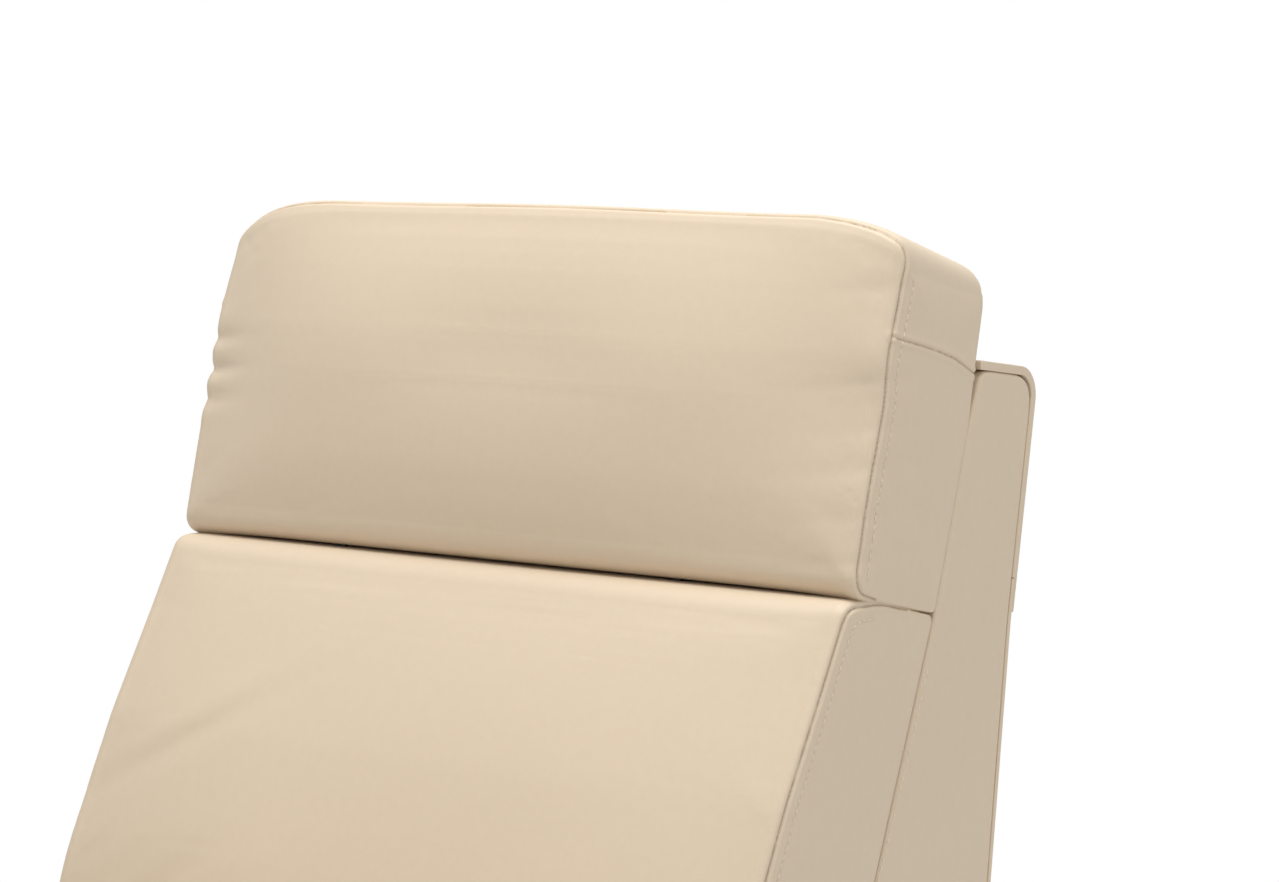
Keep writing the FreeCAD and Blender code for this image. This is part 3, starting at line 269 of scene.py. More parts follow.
def outline(points, radii, arcs=9, lines=12, extra=()):
    """A closed outline with rounded corners, sampled by counts so that every section matches.

    Returns the samples and their marks: a corner's number, plus the share of the way to the next."""
    corners = [np.array(p, float) for p in points]
    count = len(corners)
    arcs_at = []
    for i, here in enumerate(corners):
        back, ahead = corners[i - 1] - here, corners[(i + 1) % count] - here
        reach_back, reach_ahead = np.linalg.norm(back), np.linalg.norm(ahead)
        back, ahead = back / reach_back, ahead / reach_ahead
        half = math.acos(max(-1, min(1, float(back @ ahead)))) / 2
        reach = min(radii[i] / math.tan(half), 0.48 * min(reach_back, reach_ahead))
        if reach < 1e-6 or abs(half - math.pi / 2) < 1e-4:
            arcs_at.append(np.repeat([here], arcs, 0))
            continue
        radius = reach * math.tan(half)
        middle = (back + ahead) / np.linalg.norm(back + ahead)
        centre = here + middle * (radius / math.sin(half))
        start = here + back * reach - centre
        end = here + ahead * reach - centre
        sweep = math.pi - 2 * half
        if start[0] * end[1] - start[1] * end[0] < 0:
            sweep = -sweep
        turns = np.linspace(0, sweep, arcs)
        arcs_at.append(np.array([centre + (math.cos(t) * start[0] - math.sin(t) * start[1],
                                           math.sin(t) * start[0] + math.cos(t) * start[1])
                                 for t in turns]))
    samples, marks = [], []
    for i, arc in enumerate(arcs_at):
        samples.extend(arc)
        marks.extend(i + np.linspace(-0.1, 0.1, arcs))
        after = arcs_at[(i + 1) % count][0]
        number = dict(extra).get(i, lines)
        shares = (np.arange(1, number + 1)) / (number + 1)
        shares = 0.6 * shares + 0.4 * (1 - np.cos(np.pi * shares)) / 2
        samples.extend(arc[-1] + (after - arc[-1]) * s for s in shares)
        marks.extend(i + 0.1 + 0.8 * shares)
    return np.array(samples), np.array(marks)


def inset(ring, distance, weights=1.0):
    """The closed outline moved inwards along its own normals, by its weights."""
    ahead = np.roll(ring, -1, 0) - ring
    step = np.linalg.norm(ahead, axis=1)
    step[step < 1e-9] = 1e-9
    before = np.roll(step, 1)
    unit = ahead / step[:, None]
    # The shorter neighbouring step says most about the direction here.
    along = unit * before[:, None] + np.roll(unit, 1, 0) * step[:, None]
    length = np.linalg.norm(along, axis=1)
    length[length < 1e-15] = 1
    normals = np.stack([-along[:, 1], along[:, 0]], 1) / length[:, None]
    area = np.sum(ring[:, 0] * np.roll(ring[:, 1], -1) - np.roll(ring[:, 0], -1) * ring[:, 1])
    moved = np.ones(len(ring)) * distance * weights * (1 if area > 0 else -1)
    return ring + normals * moved[:, None]


EDGE_TURNS = (0, 10, 20, 30, 40, 50, 60, 70, 80, 90)
SEAM_ROW = 3


def end_stations(half, edge, fall, middle):
    """X places, and the inward move of the outline there, with a quarter-round edge at both ends.

    The seam lies SEAM_ROW rows in from each end."""
    places = [(x, 0.0) for x in np.linspace(0, half - edge - fall, middle)]
    if fall > 0:
        for share in np.linspace(0, 1, 22)[1:]:
            places.append((half - edge - fall + fall * math.sin(share * math.pi / 2), 0.0))
    for angle in EDGE_TURNS:
        turn = math.radians(angle)
        places.append((half - edge + edge * math.sin(turn), edge * (1 - math.cos(turn))))
    places = [p for i, p in enumerate(places) if i == 0 or p[0] > places[i - 1][0] + 1e-5]
    return [(-x, moved) for x, moved in reversed(places[1:])] + places


def fall_of(x, half, width, height, power, end, tail=0.0):
    """How far a rounded corner has fallen at x, in mm, for a corner of that width and height."""
    share = min(max((abs(x) - (half - width)) / width, 0), 0.999)
    return height * (1 - (1 - share ** power) ** end) + tail * share


def weights_of(marks, by_corner):
    """A weight for each sample of an outline, from one for each corner."""
    return np.interp(marks, np.arange(-1, len(by_corner) + 1),
                     [by_corner[-1], *by_corner, by_corner[0]])


def nearest_on(points, start, end):
    """The nearest point of a segment for each point."""
    run = end - start
    share = np.clip(((points - start) @ run) / (run @ run), 0, 1)
    return start + share[:, None] * run


def sweep(name, stations, ring_of, spine, swell=0.004, rings=14):
    """A closed form: outlines at places along X, and end faces drawn in to a spine segment."""
    grid = []
    for x, moved in stations:
        ring, weights = ring_of(x)
        ring = inset(ring, moved, weights)
        grid.append(np.column_stack([np.full(len(ring), x), ring]))
    count = len(grid[0])
    verts = list(np.concatenate(grid))
    faces = []
    for i in range(len(grid) - 1):
        a, b = i * count, (i + 1) * count
        for j in range(count):
            k = (j + 1) % count
            faces.append((a + j, b + j, b + k, a + k))
    for end, sign in ((0, -1), (len(grid) - 1, 1)):
        ring = grid[end]
        low, high = np.array(spine[0]), np.array(spine[1])
        target = nearest_on(ring[:, 1:], low, high)
        before = list(range(end * count, (end + 1) * count))
        for step in range(1, rings + 1):
            share = (step / rings) ** 1.35
            flat = ring[:, 1:] + (target - ring[:, 1:]) * share
            out = ring[:, 0] + sign * swell * (1 - (1 - share) ** 3)
            start = len(verts)
            verts.extend(np.column_stack([out, flat]))
            here = list(range(start, start + count))
            for j in range(count):
                k = (j + 1) % count
                quad = (before[j], here[j], here[k], before[k])
                faces.append(quad if sign > 0 else quad[::-1])
            before = here
    mesh = bpy.data.meshes.new(name)
    mesh.from_pydata([tuple(v) for v in verts], [], faces)
    piece = bpy.data.objects.new(name, mesh)
    bpy.context.scene.collection.objects.link(piece)
    tidy_mesh(piece)
    return piece, np.array(grid)


def tidy_mesh(piece):
    """Merges the drawn-in ends, turns the faces outwards and shades them smooth."""
    work = bmesh.new()
    work.from_mesh(piece.data)
    bmesh.ops.remove_doubles(work, verts=work.verts, dist=2e-5)
    bmesh.ops.dissolve_degenerate(work, edges=work.edges, dist=1e-6)
    bmesh.ops.recalc_face_normals(work, faces=work.faces)
    for face in work.faces:
        face.smooth = True
    work.to_mesh(piece.data)
    work.free()
    piece.data.update()


def coordinates(mesh):
    co = np.empty(len(mesh.vertices) * 3)
    mesh.vertices.foreach_get("co", co)
    return co.reshape(-1, 3)


def set_coordinates(mesh, co):
    mesh.vertices.foreach_set("co", np.asarray(co, float).ravel())
    mesh.update()


def dense(curve, step=0.0012):
    """Points along a line of points, evenly spaced."""
    curve = np.array(curve, float)
    runs = np.linalg.norm(np.diff(curve, axis=0), axis=1)
    keep = np.concatenate([[True], runs > 1e-7])
    curve = curve[keep]
    length = np.concatenate([[0], np.cumsum(np.linalg.norm(np.diff(curve, axis=0), axis=1))])
    places = np.linspace(0, length[-1], max(2, int(length[-1] / step)))
    return np.stack([np.interp(places, length, curve[:, i]) for i in range(3)], 1)


def softened(curve, reach=0.009):
    """A line of points with its corners rounded over a short reach."""
    path = dense(curve, 0.001)
    span = int(reach / 0.001)
    padded = np.concatenate([np.repeat(path[:1], span, 0), path, np.repeat(path[-1:], span, 0)])
    total = np.cumsum(np.concatenate([np.zeros((1, 3)), padded]), 0)
    width = 2 * span + 1
    return (total[width:] - total[:-width]) / width


def draw_in_left(piece, grid):
    """The left end of a soft cushion sits a few millimetres further in than its right end."""
    def moved(x):
        share = np.clip((-x - 0.200) / 0.109, 0, 1)
        return x + 0.0048 * share * share * (3 - 2 * share)

    co = coordinates(piece.data)
    co[:, 0] = moved(co[:, 0])
    set_coordinates(piece.data, co)
    grid[:, :, 0] = moved(grid[:, :, 0])


def tree_of(points):
    tree = kdtree.KDTree(len(points))
    for i, p in enumerate(points):
        tree.insert(p, i)
    tree.balance()
    return tree


def settle(curve, piece):
    """The curve laid on the piece's surface, with the surface's normals."""
    work = bmesh.new()
    work.from_mesh(piece.data)
    surface = BVHTree.FromBMesh(work)
    points, normals = [], []
    for p in curve:
        place, normal, _, _ = surface.find_nearest(p)
        points.append(place)
        normals.append(normal)
    work.free()
    return np.array(points), np.array(normals)


def seam_with_painted_shade(piece, curves, depth=0.0018, width=0.0010, roll=0.0006, painted_shade=0.7):
    """Sewn seams: finer faces along each curve, a groove with painted shade in it, and leather rolled up
    at both sides.
    """
    points = np.concatenate([dense(c) for c in curves])
    tree = tree_of(points)
    work = bmesh.new()
    work.from_mesh(piece.data)
    for reach, shortest in ((0.008, 0.0024), (0.0045, 0.0013)):
        near = {v for v in work.verts if tree.find(v.co)[2] < reach}
        edges = [e for e in work.edges if (e.verts[0] in near or e.verts[1] in near)
                 and e.calc_length() > shortest]
        bmesh.ops.subdivide_edges(work, edges=edges, cuts=1, use_grid_fill=True)
    bmesh.ops.triangulate(work, faces=[f for f in work.faces if len(f.verts) > 4])
    work.normal_update()
    layer = work.verts.layers.float.get("seam_with_painted_shade") or work.verts.layers.float.new("seam_with_painted_shade")
    for v in work.verts:
        gap = tree.find(v.co)[2]
        if gap < 0.012:
            push = -depth * math.exp(-(gap / width) ** 2)
            push += roll * math.exp(-((gap - 3.4 * width) / (2.2 * width)) ** 2)
            # Painted shade: the attribute darkens the leather down in the groove, where shade falls.
            v[layer] = max(v[layer], painted_shade * math.exp(-(gap / (0.75 * width)) ** 2))
            v.co += v.normal * push
    for face in work.faces:
        face.smooth = True
    work.to_mesh(piece.data)
    work.free()


def stitches(name, piece, curves, body, pitch=0.0064, long=0.0047, radius=0.00050):
    """A row of thread stitches along each curve, lying on the piece's surface."""
    verts, faces = [], []
    for curve in curves:
        path, normals = settle(dense(curve, 0.001), piece)
        length = np.concatenate([[0], np.cumsum(np.linalg.norm(np.diff(path, axis=0), axis=1))])
        for start in np.arange(0.002, length[-1] - long, pitch):
            places = np.linspace(start, start + long, 6)
            line = np.stack([np.interp(places, length, path[:, i]) for i in range(3)], 1)
            out = np.stack([np.interp(places, length, normals[:, i]) for i in range(3)], 1)
            lift = np.array([-1.0, 0.1, 0.55, 0.55, 0.1, -1.0]) * radius
            thick = np.array([0.55, 0.95, 1.0, 1.0, 0.95, 0.55]) * radius
            along = (line[-1] - line[0]) / np.linalg.norm(line[-1] - line[0])
            first = len(verts)
            for k in range(6):
                across = np.cross(out[k], along)
                centre = line[k] + out[k] * lift[k]
                for side in range(6):
                    turn = side * math.pi / 3
                    verts.append(tuple(centre + thick[k] * (across * math.cos(turn)
                                                            + out[k] * math.sin(turn))))
            for k in range(5):
                for side in range(6):
                    a, b = first + 6 * k + side, first + 6 * k + (side + 1) % 6
                    faces.append((a, b, b + 6, a + 6))
            faces.append(tuple(first + s for s in range(6))[::-1])
            faces.append(tuple(first + 30 + s for s in range(6)))
    mesh = bpy.data.meshes.new(name)
    mesh.from_pydata(verts, [], faces)
    for polygon in mesh.polygons:
        polygon.use_smooth = True
    row = bpy.data.objects.new(name, mesh)
    bpy.context.scene.collection.objects.link(row)
    mesh.materials.append(materials["thread"])
    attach(row, body)
    return row


def puff(piece, held, seams, pressure=4.0, most=0.010, voxel=0.006):
    """Inflates the piece as cloth between its seams, and carries the movement to its fine mesh.

    held says how firmly each place of the surface stays, from 0 to 1. Seams always stay."""
    sewn = tree_of(np.concatenate([dense(c, 0.003) for c in seams]))
    scene = bpy.context.scene
    rough = bpy.data.objects.new(piece.name + "_cloth", piece.data.copy())
    scene.collection.objects.link(rough)
    shrink = rough.modifiers.new("remesh", "REMESH")
    shrink.mode = "VOXEL"
    shrink.voxel_size = voxel
    shrink.use_smooth_shade = True
    graph = bpy.context.evaluated_depsgraph_get()
    remade = bpy.data.meshes.new_from_object(rough.evaluated_get(graph))
    rough.modifiers.clear()
    rough.data = remade
    start = coordinates(remade)
    group = rough.vertex_groups.new(name="held")
    for i, p in enumerate(start):
        weight = 1.0 if sewn.find(p)[2] < 0.8 * voxel else held(p)
        if weight > 0:
            group.add([i], weight, "REPLACE")
    cloth = rough.modifiers.new("cloth", "CLOTH")
    settings = cloth.settings
    settings.quality = 6
    settings.use_pressure = True
    settings.uniform_pressure_force = pressure
    settings.vertex_group_mass = "held"
    settings.pin_stiffness = 2.0
    settings.tension_stiffness = 12
    settings.compression_stiffness = 12
    settings.shear_stiffness = 6
    settings.bending_stiffness = 0.6
    settings.effector_weights.gravity = 0
    cloth.collision_settings.use_collision = False
    cloth.point_cache.frame_start = 1
    cloth.point_cache.frame_end = 20
    for number in range(1, 21):
        scene.frame_set(number)
    graph = bpy.context.evaluated_depsgraph_get()
    moved = coordinates(rough.evaluated_get(graph).data) - start
    scene.frame_set(1)
    size = np.linalg.norm(moved, axis=1)
    moved *= (most * np.tanh(size / most) / np.maximum(size, 1e-9))[:, None]
    bpy.data.objects.remove(rough)
    tree = tree_of(start)
    co = coordinates(piece.data)
    for i, p in enumerate(co):
        found = tree.find_n(p, 6)
        weights = np.array([1 / (f[2] + 1e-3) ** 2 for f in found])
        shift = np.array([moved[f[1]] for f in found])
        co[i] = p + (weights[:, None] * shift).sum(0) / weights.sum()
    set_coordinates(piece.data, co)


def finish_piece(piece, body, slot, *replaced):
    """The material, the body it moves with and the node it stands for."""
    piece.data.materials.clear()
    piece.data.materials.append(materials[slot])
    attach(piece, body)
    if replaced:
        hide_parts(*replaced)
    return piece


def rel(points):
    """Points in millimetres from the crease at the chair's side, in the chair's frame."""
    return np.array(points, float) * MM + CREASE


def ridge(value, centre, width):
    return math.exp(-((value - centre) / width) ** 2)


# Headrest cushion.

HEAD_HALF = 0.309
ROLL = 0.009


def head_ring(x):
    """The headrest's outline at x: front panel, top boxing, rear face and underside."""
    share = min(abs(x) / HEAD_HALF, 1)
    inner = 1 - share ** 3
    low = 5.5 * (1 - share ** 8)
    if x > 0:
        drop = fall_of(x, HEAD_HALF, 0.075, 36, 1.4, 0.30)
    else:
        drop = fall_of(x, HEAD_HALF, 0.110, 44, 2.6, 0.52, 3)
    kink = max(x / HEAD_HALF, 0) ** 10
    ends = share ** 10
    points = [
        (-36 - 4 * inner, low + 1 + 6 * ends),
        (-19 - 17 * inner, 73),
        (-0.5 - 24 * inner + 3.0 * kink, 137),
        (6.5 - 23 * inner - 2.5 * kink, 168 - 3 * kink),
        (17.5 - 16 * inner, 214 - 0.5 * drop),
        (27 - 3 * inner + 0.10 * drop, 263.5 - drop),
        (134 - 6 * inner, 238 - 9 * share ** 2 - 0.70 * drop),
        (136, 196 - (0.25 * drop if x < 0 else 0)),
        (125 - 2 * ends, 150),
        (114, 108),
        (71, -16.6),
        (2, low - 1 - 4 * ends),
    ]
    radii = [28 - 14 * ends, 150, 120, 120, 120, 15 - 4 * ends, 24, 60, 30, 200, 6, 60]
    ring, marks = outline(rel(points), [r * MM for r in radii], 9, 12,
                          HEAD_LINES)
    return ring, weights_of(marks, (1, 1, 1, 1, 1, 1, 0.8, 0.5, 0.2, 0.1, 0.04, 0.9))


HEAD_LINES = ((0, 16), (1, 14), (2, 8), (3, 12), (4, 14), (5, 24), (11, 14))
HEAD_MARKS = outline(rel([(0, 0), (0, 75), (0, 137), (0, 167), (2, 214), (5, 262), (90, 262),
                          (95, 190), (95, 150), (90, 108), (70, -10), (30, -5)]), [0.002] * 12, 9,
                     12, HEAD_LINES)[1]


def make_headrest():
    """The headrest: front panel, boxing all round, front and rear seams and a join on the boxing."""
    stations = end_stations(HEAD_HALF, ROLL, 0.066, 50)
    spine = rel([(45, 55), (78, 165)])
    piece, grid = sweep("headrest_leather", stations, head_ring, spine, 0.003)
    draw_in_left(piece, grid)
    edge, other = len(stations) - 1 - SEAM_ROW, SEAM_ROW
    marks = HEAD_MARKS
    top = int(np.argmin(abs(marks - 5.0)))
    under = int(np.argmin(abs(marks - 11.2)))
    rear_top = int(np.argmin(abs(marks - 6.05)))
    rear_low = int(np.argmin(abs(marks - 8.2)))
    front = np.concatenate([grid[edge, under:], grid[edge, :top], grid[edge:other:-1, top],
                            grid[other, top::-1], grid[other, :under:-1]])
    front = softened(front)
    rear = np.concatenate([grid[edge, rear_low:rear_top:-1], grid[edge:other:-1, rear_top],
                           grid[other, rear_top:rear_low]])
    rear = softened(rear)
    joins = []
    for sign in (1, -1):
        flat = rel([(13, 180), (24, 177), (59, 169), (88, 161), (110, 152), (126, 146)])
        joins.append([(sign * (HEAD_HALF + 0.002), y, z) for y, z in flat])

    def held(p):
        y, z = (p[1] - CREASE[0]) / MM, (p[2] - CREASE[1]) / MM
        side = abs(p[0]) > HEAD_HALF - 0.004
        if y > 42 + 0.30 * z or z < 16:
            return 1.0
        return 0.75 if side or z > 254 else 0.0

    puff(piece, held, [front, rear], 3.0, 0.005)
    pucker(piece)
    joins = [settle(dense(j), piece)[0] for j in joins]
    front_on = settle(dense(front), piece)[0]
    rear_on = settle(dense(rear), piece)[0]
    lines = []
    for index in (edge, other):
        sign = 1 if index == edge else -1
        ring, weights = head_ring(sign * HEAD_HALF)
        line = inset(ring, ROLL + 0.0055, weights)
        pick = np.concatenate([line[under + 10:], line[:top + 3]])
        lines.append([(sign * (HEAD_HALF + 0.001), y, z) for y, z in pick])
    lines = [settle(softened(line), piece)[0] for line in lines]
    seam_with_painted_shade(piece, [front_on], 0.0017, 0.0009, 0.0007, 0.48)
    seam_with_painted_shade(piece, joins, 0.0011, 0.0008, 0.0006, 0.45)
    seam_with_painted_shade(piece, [rear_on], 0.0009, 0.0008, 0.0004, 0.35)
    seam_with_painted_shade(piece, lines, 0.0004, 0.0010, 0.0001, 0.20)
    finish_piece(piece, "headrest", "leather", "headrest_cushion")
    stitches("headrest_topstitch", piece, lines, "headrest")


def pucker(piece):
    """Small gathers at the left edge, faint ones by the right seam and soft hollows on the front."""
    co = coordinates(piece.data)
    normals = np.empty(len(co) * 3)
    piece.data.vertices.foreach_get("normal", normals)
    normals = normals.reshape(-1, 3)
    for p, n in zip(co, normals):
        x, y, z = p[0] / MM, (p[1] - CREASE[0]) / MM, (p[2] - CREASE[1]) / MM
        if y > 45 or z < 8:
            continue
        gap = x + 309
        left = math.exp(-(gap / 34) ** 2)
        right = math.exp(-((309 - x) / 48) ** 2)
        push = 0.0
        for height, size, thin in ((152, -1.6, 4.5), (141, 1.2, 6), (128, -2.4, 4), (117, 1.4, 6),
                                   (105, -1.8, 4.5), (93, 0.9, 7)):
            push += left * size * ridge(z, height + 0.10 * gap, thin)
        for height, size, thin in ((150, -0.5, 5), (118, -0.35, 5), (92, -0.5, 6), (60, -0.4, 6),
                                   (214, -0.35, 6), (30, -0.5, 5)):
            push += right * size * ridge(z, height - 0.12 * (309 - x), thin)
        push += 0.7 * math.sin(x * 0.019 + 1.3) * math.sin(z * 0.027 + 0.4) * (1 - left) * (1 - right)
        p += n * push * MM
    set_coordinates(piece.data, co)


# Lumbar cushion.

LUMBAR_HALF = 0.309


def lumbar_ring(x):
    """The lumbar cushion's outline at x, from its top front round to its rear and top."""
    share = min(abs(x) / LUMBAR_HALF, 1)
    inner = 1 - share ** 3
    ends = share ** 12
    points = [
        (-42 - 7 * inner, 5 - 0.5 * ends),
        (-71 - 10 * inner, -46),
        (-117 - 13 * inner, -123),
        (-166 - 14 * inner, -220),
        (-205 - 12 * inner, -330),
        (-200 - 5 * inner, -387),
        (-95, -385),
        (-84.5, -354),
        (-1.5, -187),
        (69.5, -17.4),
        (2, 3 - 0.5 * ends),
    ]
    radii = [26 - 11 * ends, 70, 180, 240, 110, 18, 8, 6, 150, 6, 60]
    ring, marks = outline(rel(points), [r * MM for r in radii], 9, 12,
                          ((0, 18), (1, 18), (2, 20), (3, 20), (10, 12)))
    return ring, weights_of(marks, (1, 1, 1, 1, 1, 1, 0.6, 0.1, 0.1, 0.04, 0.9))


LUMBAR_MARKS = outline(rel([(-40, 0), (-66, -47), (-112, -125), (-162, -222), (-204, -330),
                            (-200, -387), (-95, -385), (-85, -354), (-2, -187), (68, -22), (2, 0)]),
                       [0.002] * 11, 9, 12, ((0, 18), (1, 18), (2, 20), (3, 20), (10, 12)))[1]


def make_lumbar():
    """The lumbar cushion: one front panel over the top edge, and side boxing."""
    stations = end_stations(LUMBAR_HALF, ROLL, 0.030, 54)
    spine = rel([(-125, -300), (0, -95)])
    piece, grid = sweep("lumbar_leather", stations, lumbar_ring, spine, 0.003)
    draw_in_left(piece, grid)
    edge, other = len(stations) - 1 - SEAM_ROW, SEAM_ROW
    marks = LUMBAR_MARKS
    last = int(np.argmin(abs(marks - 5.0)))
    under = int(np.argmin(abs(marks - 9.5)))
    rows = [softened(np.concatenate([grid[i, under:], grid[i, :last]])) for i in (edge, other)]

    def held(p):
        y, z = (p[1] - CREASE[0]) / MM, (p[2] - CREASE[1]) / MM
        if y > 25 + 0.47 * z or z > -12 or z < -372:
            return 1.0
        return 0.75 if abs(p[0]) > LUMBAR_HALF - 0.004 else 0.0

    puff(piece, held, rows, 3.0, 0.006)
    lumbar_wrinkles(piece)
    rows_on = [settle(dense(r), piece)[0] for r in rows]
    lines = []
    for sign in (1, -1):
        ring, weights = lumbar_ring(sign * LUMBAR_HALF)
        line = inset(ring, ROLL + 0.0055, weights)
        pick = np.concatenate([line[len(line) - 12:], line[:last - 12]])
        lines.append([(sign * (LUMBAR_HALF + 0.001), y, z) for y, z in pick])
    lines = [settle(softened(line), piece)[0] for line in lines]
    seam_with_painted_shade(piece, rows_on, 0.0017, 0.0009, 0.0007, 0.48)
    seam_with_painted_shade(piece, lines, 0.0004, 0.0010, 0.0001, 0.20)
    finish_piece(piece, "back", "leather", "lumbar_cushion")
    stitches("lumbar_topstitch", piece, lines, "back")


def lumbar_wrinkles(piece):
    """A soft diagonal fold low on the left and slight hollows on the front panel."""
    co = coordinates(piece.data)
    for p in co:
        x, y, z = p[0] / MM, (p[1] - CREASE[0]) / MM, (p[2] - CREASE[1]) / MM
        if y > 0.47 * z or z > -20:
            continue
        line = z + 160 - 0.55 * (x + 260)
        fade = math.exp(-((x + 215) / 75) ** 2)
        p[1] += (1.2 * ridge(line, 0, 10) - 1.0 * ridge(line, 18, 12)) * fade * MM
        p[1] += 0.0008 * math.sin(x * 0.018 + 0.6) * math.sin(z * 0.024 + 0.9) * (1 - (x / 309) ** 4)
    set_coordinates(piece.data, co)


# Seat cushion and footrest pad.

SEAT_HALF = 0.308
SEAT_EXTRA = ((0, 44), (1, 12), (2, 20), (3, 32), (4, 10), (5, 16))


def seat_ring(x):
    """The seat cushion's outline at x, with a waterfall front."""
    share = min(abs(x) / SEAT_HALF, 1)
    crown = 20 * (1 - share ** 3)
    points = [(-484, 347), (64, 347), (64, 446 + 0.7 * crown), (-150, 455 + crown),
              (-438, 450 + 0.9 * crown), (-486, 408)]
    radii = [22, 10, 26, 320, 64, 60]
    ring, marks = outline(np.array(points) * MM, [r * MM for r in radii], 9, 20, SEAT_EXTRA)
    return ring, weights_of(marks, (0.5, 0.3, 1, 1, 1, 1))


def make_seat():
    """The seat cushion: a top panel that falls over the front, and side boxing."""
    stations = end_stations(SEAT_HALF, 0.011, 0.0, 50)
    piece, grid = sweep("seat_leather", stations, seat_ring, np.array([(-0.42, 0.40), (0.0, 0.40)]),
                        0.003)
    edge, other = len(stations) - 1 - SEAM_ROW, SEAM_ROW
    marks = outline([(-0.48, 0.35), (0.06, 0.35), (0.06, 0.45), (-0.16, 0.46), (-0.44, 0.45),
                     (-0.484, 0.42)], [0.002] * 6, 9, 20, SEAT_EXTRA)[1]
    start = int(np.argmin(abs(marks - 2.0)))
    rows = [grid[i, start:] for i in (edge, other)]

    def held(p):
        if p[2] < 0.366 or p[1] > 0.050:
            return 1.0
        return 0.75 if abs(p[0]) > SEAT_HALF - 0.004 else 0.0

    puff(piece, held, rows, 3.0, 0.009, 0.0075)
    rows_on = [settle(dense(r), piece)[0] for r in rows]
    lines = []
    for sign in (1, -1):
        ring, weights = seat_ring(sign * SEAT_HALF)
        line = inset(ring, 0.011 + 0.006, weights)
        lines.append([(sign * (SEAT_HALF + 0.001), y, z) for y, z in line[start + 6:-4]])
    lines = [settle(softened(line), piece)[0] for line in lines]
    seam_with_painted_shade(piece, rows_on, 0.0017, 0.0009, 0.0007, 0.48)
    seam_with_painted_shade(piece, lines, 0.0004, 0.0010, 0.0001, 0.20)
    finish_piece(piece, "seat", "leather", "seat_cushion")
    stitches("seat_topstitch", piece, lines, "seat")


REST_HALF = 0.302


def footrest_ring(x):
    """The footrest pad's outline at x."""
    share = min(abs(x) / REST_HALF, 1)
    crown = 8 * (1 - share ** 3)
    points = [(-482 - crown, 64), (-454.5, 64), (-454.5, 310), (-482 - crown, 310)]
    ring, marks = outline(np.array(points) * MM, [0.014, 0.003, 0.003, 0.014], 9, 8, ((1, 40), (3, 44)))
    return ring, weights_of(marks, (1, 0.2, 0.2, 1))


def make_footrest():
    """The footrest pad: a crowned front panel over a boxed edge."""
    stations = end_stations(REST_HALF, 0.010, 0.0, 50)
    piece, _ = sweep("footrest_leather", stations, footrest_ring,
                     np.array([(-0.468, 0.09), (-0.468, 0.29)]), 0.001, 6)

    def loop_at(x, low, high):
        corners = ((-x, low), (x, low), (x, high), (-x, high), (-x, low))
        path = []
        for a, b in zip(corners, corners[1:]):
            path.extend([(a[0] + (b[0] - a[0]) * t, -0.495, a[1] + (b[1] - a[1]) * t)
                         for t in np.linspace(0, 1, 60)[:-1]])
        return path + path[:1]

    panel = settle(loop_at(0.292, 0.074, 0.300), piece)[0]
    sewn = settle(loop_at(0.282, 0.084, 0.290), piece)[0]

    def held(p):
        return 1.0 if p[1] > -0.470 or p[2] < 0.070 or p[2] > 0.304 else 0.0

    puff(piece, held, [panel], 3.0, 0.007)
    panel = settle(panel, piece)[0]
    sewn = settle(sewn, piece)[0]
    seam_with_painted_shade(piece, [panel], 0.0016, 0.0009, 0.0006, 0.48)
    seam_with_painted_shade(piece, [sewn], 0.0004, 0.0010, 0.0001, 0.20)
    finish_piece(piece, "footrest", "leather", "footrest_cushion")
    stitches("footrest_topstitch", piece, [sewn], "footrest")


make_camera()
make_headrest()
make_lumbar()
make_seat()
make_footrest()


# Leather-covered boards, made from the outlines of the frame's own nodes.

def cover(name, node, body, bevel=0.004, steps=4):
    """A leather skin on a board: the node's own form with soft, rolled edges."""
    mesh = nodes[node].data.copy()
    mesh.name = name
    piece = bpy.data.objects.new(name, mesh)
    bpy.context.scene.collection.objects.link(piece)
    work = bmesh.new()
    work.from_mesh(mesh)
    bmesh.ops.remove_doubles(work, verts=work.verts, dist=1e-5)
    bmesh.ops.dissolve_limit(work, angle_limit=math.radians(1.0), verts=work.verts, edges=work.edges)
    sharp = [e for e in work.edges if len(e.link_faces) == 2 and e.calc_face_angle(0) > math.radians(35)]
    bmesh.ops.bevel(work, geom=sharp, offset=bevel, offset_type="OFFSET", segments=steps, profile=0.5,
                    affect="EDGES", clamp_overlap=True)
    for face in work.faces:
        face.smooth = True
    work.to_mesh(mesh)
    work.free()
    piece.data.update()
    weight = piece.modifiers.new("normals", "WEIGHTED_NORMAL")
    weight.keep_sharp = False
    weight.weight = 100
    return finish_piece(piece, body, "leather", node)


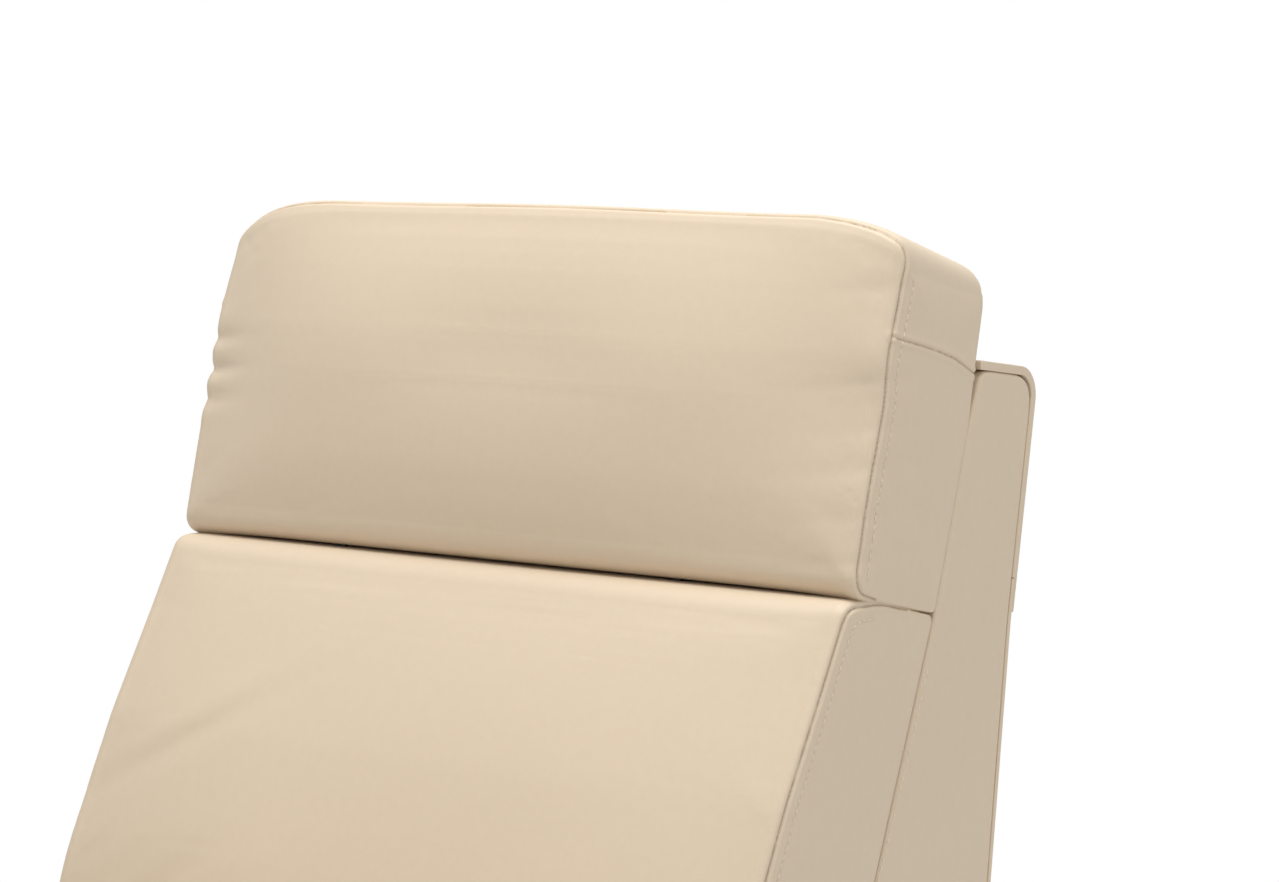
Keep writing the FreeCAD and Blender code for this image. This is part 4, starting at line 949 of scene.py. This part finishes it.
def side_outline(node, step=0.005, passes=5):
    """The outline of a board's flat side, from its node, evenly spaced and softened at its corners."""
    work = bmesh.new()
    work.from_mesh(nodes[node].data)
    bmesh.ops.remove_doubles(work, verts=work.verts, dist=1e-5)
    far = max(v.co.x for v in work.verts)
    near = min(v.co.x for v in work.verts)
    flat = {f for f in work.faces if all(v.co.x > far - 1e-5 for v in f.verts)}
    after = {}
    for face in flat:
        for loop in face.loops:
            if not all(f in flat for f in loop.edge.link_faces):
                after[loop.vert] = loop.link_loop_next.vert
    # The lowest point, then the front one: a set has no order, and every run starts at one place.
    start = min(after, key=lambda v: (round(v.co.z, 6), round(v.co.y, 6)))
    path, here = [start.co.yz], after[start]
    while here is not start:
        path.append(here.co.yz)
        here = after[here]
    work.free()
    path = np.array([tuple(p) for p in path + path[:1]])
    length = np.concatenate([[0], np.cumsum(np.linalg.norm(np.diff(path, axis=0), axis=1))])
    places = np.linspace(0, length[-1], int(length[-1] / step) + 1)[:-1]
    ring = np.stack([np.interp(places, length, path[:, i]) for i in range(2)], 1)
    for _ in range(passes):
        ring = 0.5 * ring + 0.25 * (np.roll(ring, 1, 0) + np.roll(ring, -1, 0))
    return ring, near, far


def board(name, node, body, edge=0.0035, groove=None, deep=0.0008, step=0.005, passes=5):
    """Leather over a board: rolled edges, and where asked a sewn seam just inside each edge, with painted
    shade in its groove.
    """
    ring, near, far = side_outline(node, step, passes)
    turns = [math.radians(a) for a in (0, 15, 30, 45, 60, 75, 90)]
    rows = [(edge * (1 - math.cos(t)), edge * (1 - math.sin(t)), 0.0) for t in turns]
    if groove:
        # Each groove row's last value is painted shade: it darkens the leather most at the bottom of the
        # seam's groove.
        for past, down, painted_shade in ((-0.0012, 0.0, 0.0), (-0.0006, 0.3, 0.15), (0.0, 1.0, 0.4),
                                 (0.0006, 0.3, 0.15), (0.0014, -0.3, 0.0), (0.0035, 0.0, 0.0)):
            rows.append((groove + past, deep * down, painted_shade))
    full = [(near + sunk, moved, painted_shade) for moved, sunk, painted_shade in reversed(rows)]
    full += [(far - sunk, moved, painted_shade) for moved, sunk, painted_shade in rows]
    work = bmesh.new()
    layer = work.verts.layers.float.new("seam_with_painted_shade")
    lines = []
    for x, moved, painted_shade in full:
        line = []
        for y, z in inset(ring, moved):
            v = work.verts.new((x, y, z))
            v[layer] = painted_shade
            line.append(v)
        lines.append(line)
    count = len(ring)
    for a, b in zip(lines, lines[1:]):
        for j in range(count):
            work.faces.new((a[j], b[j], b[(j + 1) % count], a[(j + 1) % count]))
    for line in (lines[0], lines[-1]):
        flat = [Vector((v.co.y, v.co.z, 0)) for v in line]
        for triangle in geometry.tessellate_polygon([flat]):
            work.faces.new([line[i] for i in triangle])
    bmesh.ops.recalc_face_normals(work, faces=work.faces)
    for face in work.faces:
        face.smooth = True
    mesh = bpy.data.meshes.new(name)
    work.to_mesh(mesh)
    work.free()
    piece = bpy.data.objects.new(name, mesh)
    bpy.context.scene.collection.objects.link(piece)
    weight = piece.modifiers.new("normals", "WEIGHTED_NORMAL")
    weight.weight = 100
    return finish_piece(piece, body, "leather", node)


for side_name, sign in SIDES:
    shell = board(f"back_side_leather_{side_name}", f"back_side_panel_{side_name}", "back", 0.0030)
    board(f"base_side_leather_{side_name}", f"base_side_panel_{side_name}", "base", 0.005, 0.0075)
    board(f"seat_rail_leather_{side_name}", f"seat_side_rail_{side_name}", "seat", 0.005, 0.0075)
    line = rel([(61, -52), (47, -86), (31, -122), (4, -182), (-30, -246), (-72, -328)])
    stitches(f"shell_topstitch_{side_name}", shell, [[(sign * 0.3101, y, z) for y, z in line]], "back")
board("rear_cover_lower_leather", "rear_cover_lower", "back", 0.0007, step=0.0015, passes=1)
board("rear_cover_upper_leather", "rear_cover_upper", "back", 0.0008, step=0.0015, passes=1)
cover("base_rear_leather", "base_rear_panel", "base", 0.004)


# The other nodes keep their shape and get their finish.

for part in frame["record"]["subparts"]:
    shown = nodes[part["node"]]
    if not shown.hide_render:
        shown.data.materials.clear()
        shown.data.materials.append(materials[part["material_slot"]])
        for polygon in shown.data.polygons:
            polygon.material_index = 0


# Floor, background and light.

FLOOR_HALF = 30
FADE_START, FADE_LENGTH = 0.9, 1.3
SKY_STRENGTH = 0.58
# Each lamp's name, place, aim, size in metres and power in watts.
LAMPS = (("over", (0.1, 0.1, 2.9), (0, 0.2, 0.8), 1.4, 41),
         ("side", (3.2, -0.4, 1.8), (0, 0.2, 0.7), 2.4, 10))


def make_stage():
    """A pale floor that keeps the shadow and fades to white, under soft light."""
    m = Nodes("floor")
    tree = m.tree
    path = tree.nodes.new("ShaderNodeLightPath")
    seen = m.math("MAXIMUM", path.outputs["Is Camera Ray"],
                  m.math("MAXIMUM", path.outputs["Is Glossy Ray"], path.outputs["Is Transmission Ray"]))
    x = axis_of(m, 0)
    y = axis_of(m, 1)
    far = m.math("SQRT", m.math("ADD", m.math("MULTIPLY", x, x), m.math("MULTIPLY", y, y)))
    fade = m.math("MULTIPLY", m.math("SUBTRACT", far, FADE_START), 1 / FADE_LENGTH)
    fade_node = tree.nodes.new("ShaderNodeClamp")
    tree.links.new(fade, fade_node.inputs["Value"])
    share = m.math("MULTIPLY", fade_node.outputs[0], seen)
    m.set(Base_Color=(0.86, 0.86, 0.86, 1), Roughness=0.8, Specular_IOR_Level=0.1)
    white = tree.nodes.new("ShaderNodeEmission")
    white.inputs["Strength"].default_value = 1.0
    blend = tree.nodes.new("ShaderNodeMixShader")
    tree.links.new(share, blend.inputs[0])
    tree.links.new(m.shader.outputs[0], blend.inputs[1])
    tree.links.new(white.outputs[0], blend.inputs[2])
    tree.links.new(blend.outputs[0], tree.nodes["Material Output"].inputs["Surface"])
    mesh = bpy.data.meshes.new("floor")
    corners = [(x * FLOOR_HALF, y * FLOOR_HALF, 0) for x, y in ((-1, -1), (1, -1), (1, 1), (-1, 1))]
    mesh.from_pydata(corners, [], [(0, 1, 2, 3)])
    floor = bpy.data.objects.new("floor", mesh)
    mesh.materials.append(m.material)
    bpy.context.scene.collection.objects.link(floor)

    world = bpy.data.worlds.new("world")
    bpy.context.scene.world = world
    world.use_nodes = True
    tree = world.node_tree
    path = tree.nodes.new("ShaderNodeLightPath")
    back = tree.nodes["Background"]
    back.inputs["Color"].default_value = (1.0, 1.0, 1.0, 1)
    back.inputs["Strength"].default_value = SKY_STRENGTH
    plain = tree.nodes.new("ShaderNodeBackground")
    plain.inputs["Color"].default_value = (1, 1, 1, 1)
    plain.inputs["Strength"].default_value = 1.0
    most = tree.nodes.new("ShaderNodeMath")
    most.operation = "MAXIMUM"
    tree.links.new(path.outputs["Is Camera Ray"], most.inputs[0])
    tree.links.new(path.outputs["Is Transmission Ray"], most.inputs[1])
    mixed = tree.nodes.new("ShaderNodeMixShader")
    tree.links.new(most.outputs[0], mixed.inputs[0])
    tree.links.new(back.outputs[0], mixed.inputs[1])
    tree.links.new(plain.outputs[0], mixed.inputs[2])
    tree.links.new(mixed.outputs[0], tree.nodes["World Output"].inputs["Surface"])

    for name, place, aim, size, power in LAMPS:
        data = bpy.data.lights.new(name, "AREA")
        data.shape = "SQUARE"
        data.size = size
        data.energy = power
        lamp = bpy.data.objects.new(name, data)
        ahead = Vector(aim) - Vector(place)
        lamp.matrix_world = Matrix.Translation(place) @ ahead.to_track_quat("-Z", "Y").to_matrix().to_4x4()
        bpy.context.scene.collection.objects.link(lamp)


make_stage()
bpy.context.scene.view_settings.view_transform = "Standard"
